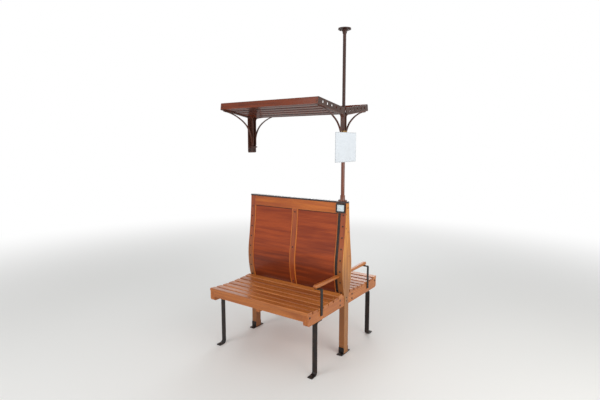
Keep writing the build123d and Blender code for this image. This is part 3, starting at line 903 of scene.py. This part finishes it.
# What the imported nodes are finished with, the same on both sides of the back.
FINISHED_NODES: dict[Finish, tuple[str, ...]] = {
    UPRIGHT_OAK: ("aisle_upright", "wall_upright"),
    STILE_OAK: ("mid_upright",),
    RAIL_OAK: ("top_rail", "bottom_rail"),
    CAP_GLOSS: ("back_cap",),
    PANEL_VENEER: ("aisle_panel", "wall_panel"),
    FRAME_BLACK: ("plate_frame",),
    PLATE_ENAMEL: ("number_plate",),
    SEAT_OAK: ("seat_slats",),
    FRONT_RAIL_OAK: ("front_rail",),
    SEAT_RAIL_OAK: ("aisle_side_rail", "wall_side_rail", "bearer", "armrest"),
    BLACK_IRON: ("strap", "aisle_shoe", "wall_shoe", "aisle_leg", "wall_leg", "armrest_iron"),
    POST_BROWN: ("post_foot", "lower_post", "post_cup"),
    UPPER_BROWN: ("upper_post", "ceiling_flange"),
    COLLAR_BRASS: ("collar",),
    BRACKET_BROWN: ("aisle_bracket", "wall_bracket", "aisle_brace", "wall_brace", "wall_plate"),
    END_PLATE_BROWN: ("end_plate",),
    SLAT_MAHOGANY: ("rack_slats",),
    RACK_MAHOGANY: ("outer_rail",),
    NOTICE_BOARD: ("notice_panel",),
    BRIGHT_STEEL: ("notice_clamps",),
}


@dataclass(frozen=True)
class Seat:
    """A spot on a surface that a fitting is screwed to, and the way in which it faces."""

    point: Vector
    normal: Vector

    def matrix(self) -> Matrix:
        """Give the move that takes a fitting from the origin, facing up, to this spot."""
        turn = UP.rotation_difference(self.normal).to_matrix().to_4x4()
        return Matrix.Translation(self.point) @ turn


def seat_on(node: str, start: Place, toward: Place) -> Seat:
    """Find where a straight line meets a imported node.

    Args:
        node: The node's name.
        start: Where the line starts, outside the node.
        toward: The way in which it runs.

    Returns:
        The spot, facing outwards.
    """
    way = Vector(toward).normalized()
    hit, point, normal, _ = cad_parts[node].ray_cast(Vector(start), way)
    if not hit:
        raise ValueError(f"nothing of {node} lies that way from {tuple(start)}")
    return Seat(point, normal)


def seat_beside(node: str, x: float, z: float, side: Side) -> Seat:
    """Find the spot on a node that is seen first from a side of the bench."""
    return seat_on(node, (x, side.value * OUTSIDE, z), (0, -side.value, 0))


def seat_at_end(node: str, y: float, z: float, end: End) -> Seat:
    """Find the spot on a node that is seen first from an end of the bench."""
    return seat_on(node, (end.value * OUTSIDE, y, z), (-end.value, 0, 0))


def middle(node: str) -> Vector:
    """Give the middle of a node's box."""
    low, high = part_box(node)
    return (low + high) / 2


def in_row(first: float, last: float, count: int) -> list[float]:
    """Give places at even steps from the first to the last."""
    return [first + (last - first) * number / (count - 1) for number in range(count)]


def across_box(node: str, axis: int, count: int, inset: float) -> list[float]:
    """Give places at even steps over a node's box, with an inset at both ends."""
    low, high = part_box(node)
    return in_row(low[axis] + inset, high[axis] - inset, count)


def select_only(*pieces: bpy.types.Object) -> None:
    """Select some pieces and nothing else, the first of them active.

    Args:
        pieces: The pieces.
    """
    bpy.ops.object.select_all(action="DESELECT")
    for piece in reversed(pieces):
        piece.select_set(True)
        bpy.context.view_layer.objects.active = piece


def start_piece(primitive: Callable, **sizes: object) -> bpy.types.Object:
    """Add a primitive with nothing else selected.

    Args:
        primitive: The operator that adds it.
        sizes: The sizes and the place that the operator takes.

    Returns:
        The new piece.
    """
    select_only()
    primitive(**sizes)
    return bpy.context.object


@contextmanager
def editing(piece: bpy.types.Object) -> Iterator[None]:
    """Edit a piece, with none of its elements selected at the start.

    Args:
        piece: The piece to edit.

    Yields:
        Nothing. The piece is in edit mode meanwhile.
    """
    select_only(piece)
    bpy.ops.object.mode_set(mode="EDIT")
    bpy.ops.mesh.select_all(action="DESELECT")
    yield
    bpy.ops.object.mode_set(mode="OBJECT")


def pick(piece: bpy.types.Object, kind: Element, test: Callable[..., bool]) -> None:
    """Select the faces or edges that pass a test.

    Args:
        piece: The piece in edit mode.
        kind: Whether faces or edges are picked.
        test: Takes a face or an edge.
    """
    bpy.ops.mesh.select_mode(type=kind.name)
    bpy.ops.mesh.select_all(action="DESELECT")
    mesh = bmesh.from_edit_mesh(piece.data)
    for element in getattr(mesh, kind.value):
        element.select_set(test(element))
    bmesh.update_edit_mesh(piece.data)


def pick_all() -> None:
    """Select all of the piece in edit mode."""
    bpy.ops.mesh.select_all(action="SELECT")


def extrude(move: Place) -> None:
    """Extrude what is selected."""
    bpy.ops.mesh.extrude_region_move(TRANSFORM_OT_translate={"value": move})


def round_top(piece: bpy.types.Object, top: float, radius: float, segments: int) -> None:
    """Round the edges at the top of a piece, which is a height in its own space."""
    pick(piece, Element.EDGE, lambda edge: min(end.co.z for end in edge.verts) > top - TINY)
    bpy.ops.mesh.bevel(offset=radius, segments=segments, affect="EDGES")


def face_outwards() -> None:
    """Turn the faces of a closed piece in edit mode outwards."""
    pick_all()
    bpy.ops.mesh.normals_make_consistent(inside=False)


def join_pieces(parts: list[bpy.types.Object]) -> bpy.types.Object:
    """Join several objects into one.

    Args:
        parts: The objects.

    Returns:
        The first one, which now holds all of them.
    """
    select_only(*parts)
    bpy.ops.object.join()
    return parts[0]


def hand_over(
    piece: bpy.types.Object, name: str, slot: Slot, finish: Finish, seed: float = 0.0
) -> None:
    """Settle a finished piece's place in its mesh, dress it and fix it to the bench.

    Args:
        piece: The finished mesh.
        name: Its name.
        slot: Not used.
        finish: What it is finished with.
        seed: Shifts the finish's pattern.
    """
    select_only(piece)
    bpy.ops.object.transform_apply(location=True, rotation=True, scale=True)
    bpy.ops.object.shade_smooth_by_angle(angle=SMOOTH_ANGLE)
    piece.name = name
    piece.data.name = name
    piece.data.materials.clear()
    piece.data.materials.append(finish.make(seed))
    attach(piece, BODY)
    log.info("%s: %d faces", name, len(piece.data.polygons))


@dataclass(frozen=True)
class Fastener:
    """A round head that is modelled once, facing up, and copied to each of its seats."""

    radius: float
    height: float
    sides: int = 20
    crown: float = 0.9
    sunk: float = 0.2
    steps: int = 3

    def model(self) -> bpy.types.Object:
        """Model a domed head, its foot a little below the surface."""
        ends = (-self.sunk * self.height, self.height)
        return self.turned(self.radius, ends, self.sides, self.crown * self.height)

    def turned(
        self, radius: float, ends: tuple[float, float], sides: int, rounding: float
    ) -> bpy.types.Object:
        """Model a round or many-sided blank with a rounded top edge.

        Args:
            radius: Its radius over the corners.
            ends: The heights of its foot and top.
            sides: How many sides it has.
            rounding: How far the top edge is rounded.

        Returns:
            The blank.
        """
        half = (ends[1] - ends[0]) / 2
        blank = start_piece(
            bpy.ops.mesh.primitive_cylinder_add,
            vertices=sides,
            radius=radius,
            depth=2 * half,
            location=(0, 0, ends[0] + half),
        )
        with editing(blank):
            round_top(blank, half, rounding, self.steps)
        return blank

    def fit(
        self,
        name: str,
        seats: Iterable[Seat],
        slot: Slot = Slot.BLACK_IRON,
        finish: Finish = BOLT_IRON,
    ) -> None:
        """Copy the head to its seats and hand the copies over as one piece.

        Args:
            name: The name of the whole.
            seats: Where the heads sit.
            slot: The record's slot.
            finish: What they are finished with.
        """
        pattern = self.model()
        bpy.ops.object.transform_apply(location=True, rotation=True, scale=True)
        copies = []
        for seat in seats:
            copied = bpy.data.objects.new(name, pattern.data.copy())
            copied.data.transform(seat.matrix())
            bpy.context.scene.collection.objects.link(copied)
            copies.append(copied)
        bpy.data.objects.remove(pattern)
        hand_over(join_pieces(copies), name, slot, finish)


@dataclass(frozen=True)
class SlottedScrew(Fastener):
    """A wood screw with a raised head and a slot."""

    crown: float = 0.55
    slot_width: float = 1.2 * MM
    slot_depth: float = 0.8 * MM

    def model(self) -> bpy.types.Object:
        """Model the raised head and sink its slot.

        Returns:
            The head.
        """
        head = super().model()
        half = self.slot_width / 2
        with editing(head):
            for side in (-half, half):
                pick_all()
                bpy.ops.mesh.bisect(plane_co=(0, side, 0), plane_no=(0, 1, 0))
            pick(
                head,
                Element.FACE,
                lambda face: abs(face.calc_center_median().y) < half and face.normal.z > FLAT,
            )
            extrude((0, 0, -self.slot_depth))
        return head


@dataclass(frozen=True)
class HexBolt(Fastener):
    """A hexagon head on a round washer. The washer's sizes are shares of the head's."""

    washer: float = 1.6
    thickness: float = 0.22
    washer_chamfer: float = 0.4
    chamfer: float = 0.16
    corners: int = 6
    steps: int = 2

    def model(self) -> bpy.types.Object:
        """Model the chamfered hexagon and the washer under it.

        Returns:
            The two as one piece.
        """
        thin = self.height * self.thickness
        radius, chamfer = self.radius * self.washer, self.height * self.chamfer
        ring = self.turned(radius, (0, thin), self.sides, thin * self.washer_chamfer)
        head = self.turned(self.radius, (thin, self.height), self.corners, chamfer)
        return join_pieces([ring, head])


@dataclass(frozen=True)
class Back:
    """The fittings of the double-sided back: bolts, screws, beads and number plates."""

    bolt: Fastener = Fastener(6.2 * MM, 2.8 * MM)
    plug: SlottedScrew = SlottedScrew(5.6 * MM, 1.5 * MM)
    strap_screw: SlottedScrew = SlottedScrew(4.2 * MM, 1.4 * MM)
    plate_screw: SlottedScrew = SlottedScrew(2.6 * MM, 1.1 * MM, slot_width=0.8 * MM)
    bolt_drops: tuple[float, float] = (87 * MM, 661 * MM)
    bolt_count: int = 8
    stile_inset: float = 24 * MM
    plug_drop: float = 35 * MM
    strap_inset: float = 18 * MM
    strap_screws: int = 6
    plate_inset: float = 4.5 * MM
    bead_radius: float = 4.5 * MM
    bead_steps: int = 18
    bead_sides: int = 10
    bead_gap: float = 0.5 * MM
    rim_width: float = 3.0 * MM
    rim_height: float = 1.4 * MM
    rim_round: float = 0.98 * MM
    rim_steps: int = 3

    def build(self) -> None:
        """Build all the fittings of the back."""
        for end in End:
            self.bolt.fit(f"{end}_upright_bolts", self._bolt_seats(f"{end}_upright"))
            self.plug.fit(f"{end}_end_screws", self._end_seats(end))
        self.bolt.fit("mid_upright_bolts", self._stile_seats())
        for side in Side:
            straps = self._strap_seats(f"{side}_strap", side)
            self.strap_screw.fit(f"{side}_strap_screws", straps)
            plates = self._plate_seats(f"{side}_plate_frame", side)
            self.plate_screw.fit(f"{side}_plate_screws", plates)
            self._build_rim(side)
            self._build_beads(side)

    def _bolt_seats(self, board: str) -> list[Seat]:
        """Give the bolts down both faces of an end upright."""
        heights = [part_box(board)[1].z - drop for drop in in_row(*self.bolt_drops, self.bolt_count)]
        return [seat_beside(board, middle(board).x, z, side) for z in heights for side in Side]

    def _stile_seats(self) -> list[Seat]:
        """Give the bolts at both ends and in the middle of the mid upright."""
        heights = across_box("mid_upright", Z, 3, self.stile_inset)
        return [seat_beside("mid_upright", 0, z, side) for z in heights for side in Side]

    def _end_seats(self, end: End) -> list[Seat]:
        """Give the screws in the end face of an upright, into the rails behind it.

        Args:
            end: The upright's end of the bench.

        Returns:
            The seats.
        """
        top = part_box("top_rail")[1].z - self.plug_drop
        heights = [top, *across_box("bottom_rail", Z, 2, self.plug_drop)]
        return [seat_at_end(f"{end}_upright", 0, z, end) for z in heights]

    def _strap_seats(self, node: str, side: Side) -> list[Seat]:
        """Give the screws down an iron strap."""
        heights = across_box(node, Z, self.strap_screws, self.strap_inset)
        return [seat_beside(node, middle(node).x, z, side) for z in heights]

    def _plate_seats(self, node: str, side: Side) -> list[Seat]:
        """Give the two screws of a plate frame."""
        places = across_box(node, X, 2, self.plate_inset)
        return [seat_beside(node, x, middle(node).z, side) for x in places]

    def _build_rim(self, side: Side) -> None:
        """Build the raised lip round a number plate.

        Args:
            side: The side of the back.
        """
        node = f"{side}_number_plate"
        low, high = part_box(node)
        outer = [size + 2 * self.rim_width for size in (high.x - low.x, high.z - low.z)]
        height = 2 * self.rim_height
        rim = start_piece(bpy.ops.mesh.primitive_plane_add, size=1.0)
        with editing(rim):
            pick_all()
            bpy.ops.transform.resize(value=(*outer, 1))
            bpy.ops.mesh.inset(thickness=self.rim_width)
            bpy.ops.mesh.delete(type="FACE")
            pick_all()
            extrude((0, 0, height))
            round_top(rim, height, self.rim_round, self.rim_steps)
            face_outwards()
        seat = seat_beside(node, middle(node).x, middle(node).z, side)
        upright = Matrix.Rotation(-side.value * math.pi / 2, 4, "X")
        lean = Vector((0, side.value, 0)).rotation_difference(seat.normal).to_matrix().to_4x4()
        rim.data.transform(Matrix.Translation(seat.point) @ lean @ upright)
        hand_over(rim, f"{side}_plate_rim", Slot.BLACK_IRON, FRAME_BLACK)

    def _build_beads(self, side: Side) -> None:
        """Build the beads along the upright edges of both panels of a face.

        Args:
            side: The side of the back.
        """
        radius = self.bead_radius
        strap, stile, wall = (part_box(n) for n in (f"{side}_strap", "mid_upright", "wall_upright"))
        lines = {
            "aisle": (strap[0].x - radius, stile[1].x + radius),
            "wall": (stile[0].x - radius, wall[1].x + radius),
        }
        for bay, places in lines.items():
            beads = [self._bead(f"{side}_{bay}_panel", x, side) for x in places]
            hand_over(join_pieces(beads), f"{side}_{bay}_beads", Slot.OAK, BEAD_OAK)

    def _bead(self, panel: str, x: float, side: Side) -> bpy.types.Object:
        """Draw one bead up the curve of a panel.

        Args:
            panel: The panel's node.
            x: Where the bead runs.
            side: The side of the back.

        Returns:
            The bead.
        """
        foot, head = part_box("bottom_rail")[1].z + self.bead_gap, RAIL_FOOT - self.bead_gap
        heights = in_row(foot, head, self.bead_steps + 1)
        spots = [seat_beside(panel, x, z, side).point for z in heights]
        bead = start_piece(
            bpy.ops.mesh.primitive_circle_add,
            vertices=self.bead_sides,
            radius=self.bead_radius,
            fill_type="NGON",
            location=spots[0],
        )
        with editing(bead):
            pick_all()
            for here, above in zip(spots, spots[1:]):
                extrude(above - here)
            face_outwards()
        return bead


@dataclass(frozen=True)
class Bench:
    """The fittings of the seats, armrests, legs and shoes."""

    slat_screw: SlottedScrew = SlottedScrew(4.2 * MM, 0.9 * MM)
    side_bolt: Fastener = Fastener(7.5 * MM, 2.4 * MM)
    iron_screw: SlottedScrew = SlottedScrew(4.6 * MM, 1.3 * MM)
    floor_bolt: HexBolt = HexBolt(7.0 * MM, 7.0 * MM)
    slats: int = 7
    slat_gap: float = 12 * MM
    side_bolts: tuple[tuple[float, float], ...] = (
        (90 * MM, 437 * MM),
        (90 * MM, 402 * MM),
        (484 * MM, 437 * MM),
    )
    iron_screws: tuple[float, ...] = (12 * MM, 36 * MM)
    leg_foot: tuple[float, float] = (18 * MM, 8 * MM)
    shoe_foot: tuple[float, float] = (15 * MM, 6 * MM)

    def build(self) -> None:
        """Build all the fittings below the back."""
        for side in Side:
            slat_seats = self._slat_seats(side)
            self.slat_screw.fit(f"{side}_seat_screws", slat_seats, Slot.BRASS, SCREW_BRASS)
            self.side_bolt.fit(f"{side}_side_bolts", self._side_seats(side))
            self.iron_screw.fit(f"{side}_iron_screws", self._iron_seats(side))
        self.floor_bolt.fit("floor_bolts", self._floor_seats())

    def _slat_seats(self, side: Side) -> list[Seat]:
        """Give the screws of the slats over both side rails and the bearer.

        Args:
            side: The side of the bench.

        Returns:
            The seats.
        """
        node = f"{side}_seat_slats"
        low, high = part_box(node)
        slat = (high.y - low.y - (self.slats - 1) * self.slat_gap) / self.slats
        names = ("aisle_side_rail", "bearer", "wall_side_rail")
        rails = [middle(f"{side}_{name}").x for name in names]
        rows = across_box(node, Y, self.slats, slat / 2)
        return [seat_on(node, (x, y, OUTSIDE), -UP) for y in rows for x in rails]

    def _side_seats(self, side: Side) -> list[Seat]:
        """Give the coach bolts through the ends of both side rails.

        Args:
            side: The side of the bench.

        Returns:
            The seats.
        """
        return [
            seat_at_end(f"{side}_{end}_side_rail", side.value * out, height, end)
            for end, (out, height) in product(End, self.side_bolts)
        ]

    def _iron_seats(self, side: Side) -> list[Seat]:
        """Give the screws of the armrest iron into the side rail.

        Args:
            side: The side of the bench.

        Returns:
            The seats.
        """
        node = f"{side}_armrest_iron"
        heights = [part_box(node)[0].z + rise for rise in self.iron_screws]
        return [seat_at_end(node, middle(node).y, z, End.AISLE) for z in heights]

    def _floor_seats(self) -> Iterator[Seat]:
        """Give the floor bolts of the legs and shoes.

        Yields:
            Each bolt's seat.
        """
        for end, side in product(End, Side):
            yield self._foot_seat(f"{side}_{end}_leg", side, *self.leg_foot)
            yield self._foot_seat(f"{end}_shoe", side, *self.shoe_foot)

    def _foot_seat(self, node: str, side: Side, inset: float, thickness: float) -> Seat:
        """Give the floor bolt near the outer end of a foot.

        Args:
            node: The leg or shoe.
            side: The side on which the foot's outer end lies.
            inset: Distance of the bolt from the foot's outer end.
            thickness: Thickness of the foot.

        Returns:
            The bolt's seat.
        """
        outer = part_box(node)[side is Side.FAR].y
        return Seat(Vector((middle(node).x, outer - side.value * inset, thickness)), UP)


@dataclass(frozen=True)
class Post:
    """The fittings of the post, from its foot to the ceiling."""

    nut: HexBolt = HexBolt(5.0 * MM, 6.0 * MM, washer=1.5)
    flange_bolt: HexBolt = HexBolt(5.4 * MM, 5.0 * MM, washer=1.4)
    collar_screw: SlottedScrew = SlottedScrew(3.8 * MM, 2.4 * MM)
    lug: float = 27 * MM
    foot_thickness: float = 7 * MM
    flange_circle: float = 33 * MM
    flange_thickness: float = 8 * MM

    def build(self) -> None:
        """Build the nuts, bolts and screws of the post."""
        foot = middle("lower_post")
        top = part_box("back_cap")[1].z + self.foot_thickness
        nuts = [Seat(Vector((foot.x + sign * self.lug, 0, top)), UP) for sign in (-1, 1)]
        self.nut.fit("foot_nuts", nuts, finish=BRIGHT_STEEL)
        self.flange_bolt.fit("flange_bolts", self._flange_seats())
        spot = middle("collar")
        ends = [seat_beside("collar", spot.x, spot.z, side) for side in Side]
        self.collar_screw.fit("collar_screws", ends, Slot.BRASS, SCREW_BRASS)

    def _flange_seats(self) -> Iterator[Seat]:
        """Give the bolts under the ceiling flange.

        Yields:
            Each bolt's seat.
        """
        centre = middle("ceiling_flange")
        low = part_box("ceiling_flange")[1].z - self.flange_thickness
        for quarter in range(4):
            angle = quarter * math.pi / 2
            out = Vector((math.cos(angle), math.sin(angle), 0)) * self.flange_circle
            yield Seat(Vector((centre.x, 0, low)) + out, -UP)


@dataclass(frozen=True)
class Rack:
    """The fittings of the luggage rack, placed along its sloping arms."""

    rivet: Fastener = Fastener(3.8 * MM, 2.0 * MM, sides=16)
    small_rivet: Fastener = Fastener(3.4 * MM, 1.7 * MM, sides=14)
    rail_bolt: Fastener = Fastener(6.5 * MM, 2.6 * MM)
    slat_screw: SlottedScrew = SlottedScrew(4.0 * MM, 1.2 * MM)
    fork_bolt: HexBolt = HexBolt(6.5 * MM, 6.0 * MM, washer=1.5)
    wall_bolt: HexBolt = HexBolt(7.5 * MM, 6.0 * MM)
    arm_low_z: float = 1765 * MM
    arm_tip_z: float = 1815 * MM
    fork_half: float = 16.8 * MM
    rack_half: float = 355 * MM
    slats: int = 5
    first_slat: float = 33.7 * MM
    last_slat: float = 289.4 * MM
    brace_feet: tuple[float, ...] = (8 * MM, 30 * MM)
    brace_laps: tuple[float, ...] = (292 * MM, 310 * MM)
    under_brace: float = 60 * MM
    under_arm: float = 14 * MM
    plate_rivets: int = 4
    plate_ends: tuple[float, float] = (60 * MM, 300 * MM)
    plate_rise: float = 9 * MM
    wall_edge: float = 20 * MM
    wall_thickness: float = 5 * MM

    def build(self) -> None:
        """Build the rivets, screws and bolts of the rack."""
        for side in Side:
            brown = {
                "brace_rivets": (self.rivet, self._brace_seats, BRACKET_BROWN),
                "fork_bolts": (self.fork_bolt, self._fork_seats, BRACKET_BROWN),
                "end_plate_rivets": (self.small_rivet, self._plate_seats, END_PLATE_BROWN),
                "rail_bolts": (self.rail_bolt, self._rail_seats, BRACKET_BROWN),
            }
            for name, (head, seats, finish) in brown.items():
                head.fit(f"{side}_{name}", seats(side), Slot.BROWN_STEEL, finish)
            self.slat_screw.fit(f"{side}_rack_screws", self._slat_seats(side))
        self.wall_bolt.fit("wall_bolts", self._wall_seats())

    def on_arm(self, along: float, above: float, side: Side) -> tuple[float, float]:
        """Give the y and z of a place on an arm.

        Args:
            along: Distance from the fork, along the arm.
            above: Distance from the middle of the arm, square to it.
            side: The side of the rack.

        Returns:
            Its y and z.
        """
        slope = math.atan2(self.arm_tip_z - self.arm_low_z, self.rack_half - self.fork_half)
        y = self.fork_half + along * math.cos(slope) - above * math.sin(slope)
        z = self.arm_low_z + along * math.sin(slope) + above * math.cos(slope)
        return side.value * y, z

    def _brace_seats(self, side: Side) -> Iterator[Seat]:
        """Give the rivets at both ends of both braces of a side.

        Args:
            side: The side of the rack.

        Yields:
            Each rivet's seat.
        """
        for end in End:
            node = f"{side}_{end}_brace"
            x = middle(node).x
            for rise in self.brace_feet:
                yield seat_beside(node, x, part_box(node)[0].z + rise, side)
            for along in self.brace_laps:
                yield seat_on(node, (x, *self.on_arm(along, -self.under_brace, side)), UP)

    def _fork_seats(self, side: Side) -> Iterator[Seat]:
        """Give the bolts through the rounded lower ends of both fork legs.

        Args:
            side: The side of the rack.

        Yields:
            Each bolt's seat.
        """
        for end in End:
            node = f"{side}_{end}_bracket"
            low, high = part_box(node)
            half = (high.x - low.x) / 2
            yield seat_beside(node, low.x + half, low.z + half, side)

    def _plate_seats(self, side: Side) -> Iterator[Seat]:
        """Give the rivets along the lower edge of an end plate.

        Args:
            side: The side of the rack.

        Yields:
            Each rivet's seat.
        """
        for along in in_row(*self.plate_ends, self.plate_rivets):
            place = self.on_arm(along, self.plate_rise, side)
            yield seat_at_end(f"{side}_end_plate", *place, End.AISLE)

    def _rail_seats(self, side: Side) -> list[Seat]:
        """Give the bolts through an outer rail above both arms.

        Args:
            side: The side of the rack.

        Returns:
            The seats.
        """
        node = f"{side}_outer_rail"
        arms = [middle(f"{side}_{end}_bracket").x for end in End]
        return [seat_beside(node, x, middle(node).z, side) for x in arms]

    def _slat_seats(self, side: Side) -> Iterator[Seat]:
        """Give the screws under the arms, one into each slat but the outermost.

        Args:
            side: The side of the rack.

        Yields:
            Each screw's seat.
        """
        for end in End:
            node = f"{side}_{end}_bracket"
            for along in in_row(self.first_slat, self.last_slat, self.slats)[:-1]:
                place = self.on_arm(along, -self.under_arm, side)
                yield seat_on(node, (middle(node).x, *place), UP)

    def _wall_seats(self) -> list[Seat]:
        """Give the four bolts of the wall plate.

        Returns:
            Their seats.
        """
        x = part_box("wall_plate")[0].x + self.wall_thickness
        rows, heights = (across_box("wall_plate", axis, 2, self.wall_edge) for axis in (Y, Z))
        return [Seat(Vector((x, y, z)), Vector((1, 0, 0))) for z in heights for y in rows]


@dataclass(frozen=True)
class Notice:
    """The blank card on the notice panel, and the rivets of its clamps."""

    rivet: Fastener = Fastener(3.6 * MM, 1.4 * MM)
    bar: float = 14 * MM
    border: float = 5 * MM
    corner_steps: int = 4
    card: float = 0.5 * MM
    rivets: tuple[float, float] = (-28 * MM, 28 * MM)

    def build(self) -> None:
        """Build the cards and rivets."""
        low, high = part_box("notice_panel")
        for name, x, end in (("aisle", high.x, End.AISLE), ("post", low.x, End.WALL)):
            self._build_card(f"notice_card_{name}", Vector((x, 0, (low.z + high.z) / 2)), end)
        self.rivet.fit("notice_rivets", self._rivet_seats(), Slot.STEEL, BRIGHT_STEEL)

    def _build_card(self, name: str, centre: Vector, end: End) -> None:
        """Build a laminated card with rounded corners on one face of the panel.

        Args:
            name: The card's name.
            centre: The middle of the face.
            end: The end of the bench that it faces.
        """
        low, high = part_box("notice_panel")
        card = start_piece(bpy.ops.mesh.primitive_plane_add, size=1.0)
        width, height = high.y - low.y - 2 * self.border, high.z - low.z - 2 * self.border
        with editing(card):
            pick_all()
            bpy.ops.transform.resize(value=(height, width, 1))
            bpy.ops.mesh.select_mode(type="VERT")
            steps = self.corner_steps
            bpy.ops.mesh.bevel(offset=self.border, segments=steps, affect="VERTICES")
            pick_all()
            extrude((0, 0, self.card))
            bpy.ops.mesh.inset(thickness=self.border / 2)
            bpy.ops.transform.translate(value=(0, 0, self.card / 2))
            face_outwards()
        turn = Matrix.Rotation(end.value * math.pi / 2, 4, "Y")
        card.data.transform(Matrix.Translation(centre) @ turn)
        hand_over(card, name, Slot.CARD, NOTICE_CARD, end.value)

    def _rivet_seats(self) -> list[Seat]:
        """Give the rivets through both clamp bars into the back of the panel."""
        corners = product(across_box("notice_clamps", Z, 2, self.bar / 2), in_row(*self.rivets, 2))
        return [seat_at_end("notice_clamps", y, z, End.WALL) for z, y in corners]


def look_at(
    data: bpy.types.ID,
    azimuth: float,
    distance: float,
    height: float,
    centre: Vector,
    aim: Vector,
) -> bpy.types.Object:
    """Add a camera or a lamp that stands off from a centre and looks at a point.

    Args:
        data: The camera's or the lamp's data.
        azimuth: The side on which it stands, in degrees from -Y towards +X.
        distance: How far off it stands.
        height: Its height above the floor.
        centre: What it stands off from.
        aim: What it looks at.

    Returns:
        The camera or the lamp.
    """
    added = bpy.data.objects.new(data.name, data)
    bpy.context.scene.collection.objects.link(added)
    turn = math.radians(azimuth)
    x, y = math.sin(turn) * distance, -math.cos(turn) * distance
    added.location = (centre.x + x, centre.y + y, height)
    added.rotation_euler = (aim - added.location).to_track_quat("-Z", "Y").to_euler()
    return added


@dataclass(frozen=True)
class Viewpoint:
    """The camera, at the height and angle of a passenger who stands in the aisle."""

    azimuth: float = 35.0
    height: float = 1.56
    distance: float = 3.35
    lens: float = 26.2
    reach: float = 100.0
    aim: tuple[float, float, float] = (0.03, 0.0, 1.13)

    def build(self) -> None:
        """Set the camera up."""
        data = bpy.data.cameras.new("aisle_view")
        data.lens = self.lens
        data.clip_end = self.reach
        target = Vector(self.aim)
        camera = look_at(data, self.azimuth, self.distance, self.height, target, target)
        bpy.context.scene.camera = camera


@dataclass(frozen=True)
class Lamp:
    """One soft lamp that looks at the bench."""

    name: str
    azimuth: float
    height: float
    distance: float
    size: float
    power: float
    colour: tuple[float, float, float] = (1.0, 1.0, 1.0)

    def build(self, aim: Vector) -> None:
        """Hang the lamp.

        Args:
            aim: What it is turned to.
        """
        data = bpy.data.lights.new(self.name, "AREA")
        data.size = self.size
        data.energy = self.power
        data.color = self.colour
        look_at(data, self.azimuth, self.distance, self.height, Vector(), aim)


@dataclass(frozen=True)
class Studio:
    """The pale floor, the white surroundings and the lamps."""

    lamps: tuple[Lamp, ...] = (
        Lamp(
            "window_light",
            azimuth=78.0,
            height=2.1,
            distance=3.4,
            size=2.4,
            power=54.0,
            colour=(1.0, 0.97, 0.93),
        ),
        Lamp("front_light", azimuth=-12.0, height=2.6, distance=4.0, size=2.6, power=58.0),
        Lamp(
            "back_light",
            azimuth=205.0,
            height=3.0,
            distance=3.8,
            size=2.4,
            power=45.0,
            colour=(0.93, 0.97, 1.0),
        ),
    )
    surroundings: float = 0.5
    floor_radius: float = 14.0
    floor_sides: int = 64
    floor_shade: Colour = Colour(240, 240, 238)
    floor_rough: float = 0.75
    fade_from: float = 2.2
    fade_to: float = 6.5

    def build(self) -> None:
        """Set floor, surroundings and lamps up."""
        self._build_floor()
        self._build_world()
        low, high = cad_box
        for lamp in self.lamps:
            lamp.build((low + high) / 2)
        bpy.context.scene.view_settings.view_transform = "Standard"

    def _build_floor(self) -> None:
        """Lay a round floor that fades into the white surroundings."""
        floor = start_piece(
            bpy.ops.mesh.primitive_circle_add,
            vertices=self.floor_sides,
            radius=self.floor_radius,
            fill_type="NGON",
        )
        floor.name = "floor"
        recipe = Recipe("floor")
        x, y, _ = recipe.split(recipe.place())
        away = (x * x + y * y) ** 0.5
        seen = recipe.node("ShaderNodeLightPath", output="Is Camera Ray")
        white = recipe.node("ShaderNodeEmission", None, {"Color": WHITE, "Strength": 1.0})
        fade = recipe.ease(away, self.fade_from, self.fade_to) * seen
        plain = Field(recipe, recipe.shader.outputs[0])
        blend = recipe.node("ShaderNodeMixShader", None, {0: fade, 1: plain, 2: white})
        recipe.feed(recipe.output.inputs[0], blend)
        recipe.set(Base_Color=self.floor_shade.linear(), Roughness=self.floor_rough)
        floor.data.materials.append(recipe.material)

    def _build_world(self) -> None:
        """Make the surroundings white to the eye and in reflections, and softer as a light."""
        world = bpy.data.worlds.new("surroundings")
        world.use_nodes = True
        bpy.context.scene.world = world
        graph = Graph(world.node_tree, "ShaderNodeOutputWorld")
        kinds = ("Is Camera Ray", "Is Glossy Ray", "Is Transmission Ray")
        camera, glossy, through = (graph.node("ShaderNodeLightPath", output=kind) for kind in kinds)
        strength = (camera | glossy | through) * (1.0 - self.surroundings) + self.surroundings
        light = {"Color": WHITE, "Strength": strength}
        graph.feed(graph.output.inputs[0], graph.node("ShaderNodeBackground", None, light))


def dress_nodes() -> None:
    """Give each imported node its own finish, with another pattern on each."""
    finishes = {node: finish for finish, nodes in FINISHED_NODES.items() for node in nodes}
    for number, (node, piece) in enumerate(sorted(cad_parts.items())):
        finish = finishes[node.removeprefix("near_").removeprefix("far_")]
        piece.data.materials.clear()
        piece.data.materials.append(finish.make(number * PATTERN_STEP))
        log.info("%s: %s", node, finish.name)


def main() -> None:
    """Build the view, the studio and every fitting, in order."""
    logging.basicConfig(level=logging.INFO, format="%(message)s")
    Viewpoint().build()
    Studio().build()
    dress_nodes()
    for assembly in (Back(), Bench(), Post(), Rack(), Notice()):
        assembly.build()
        log.info("%s is done", type(assembly).__name__)


if __name__ == "__main__":
    main()
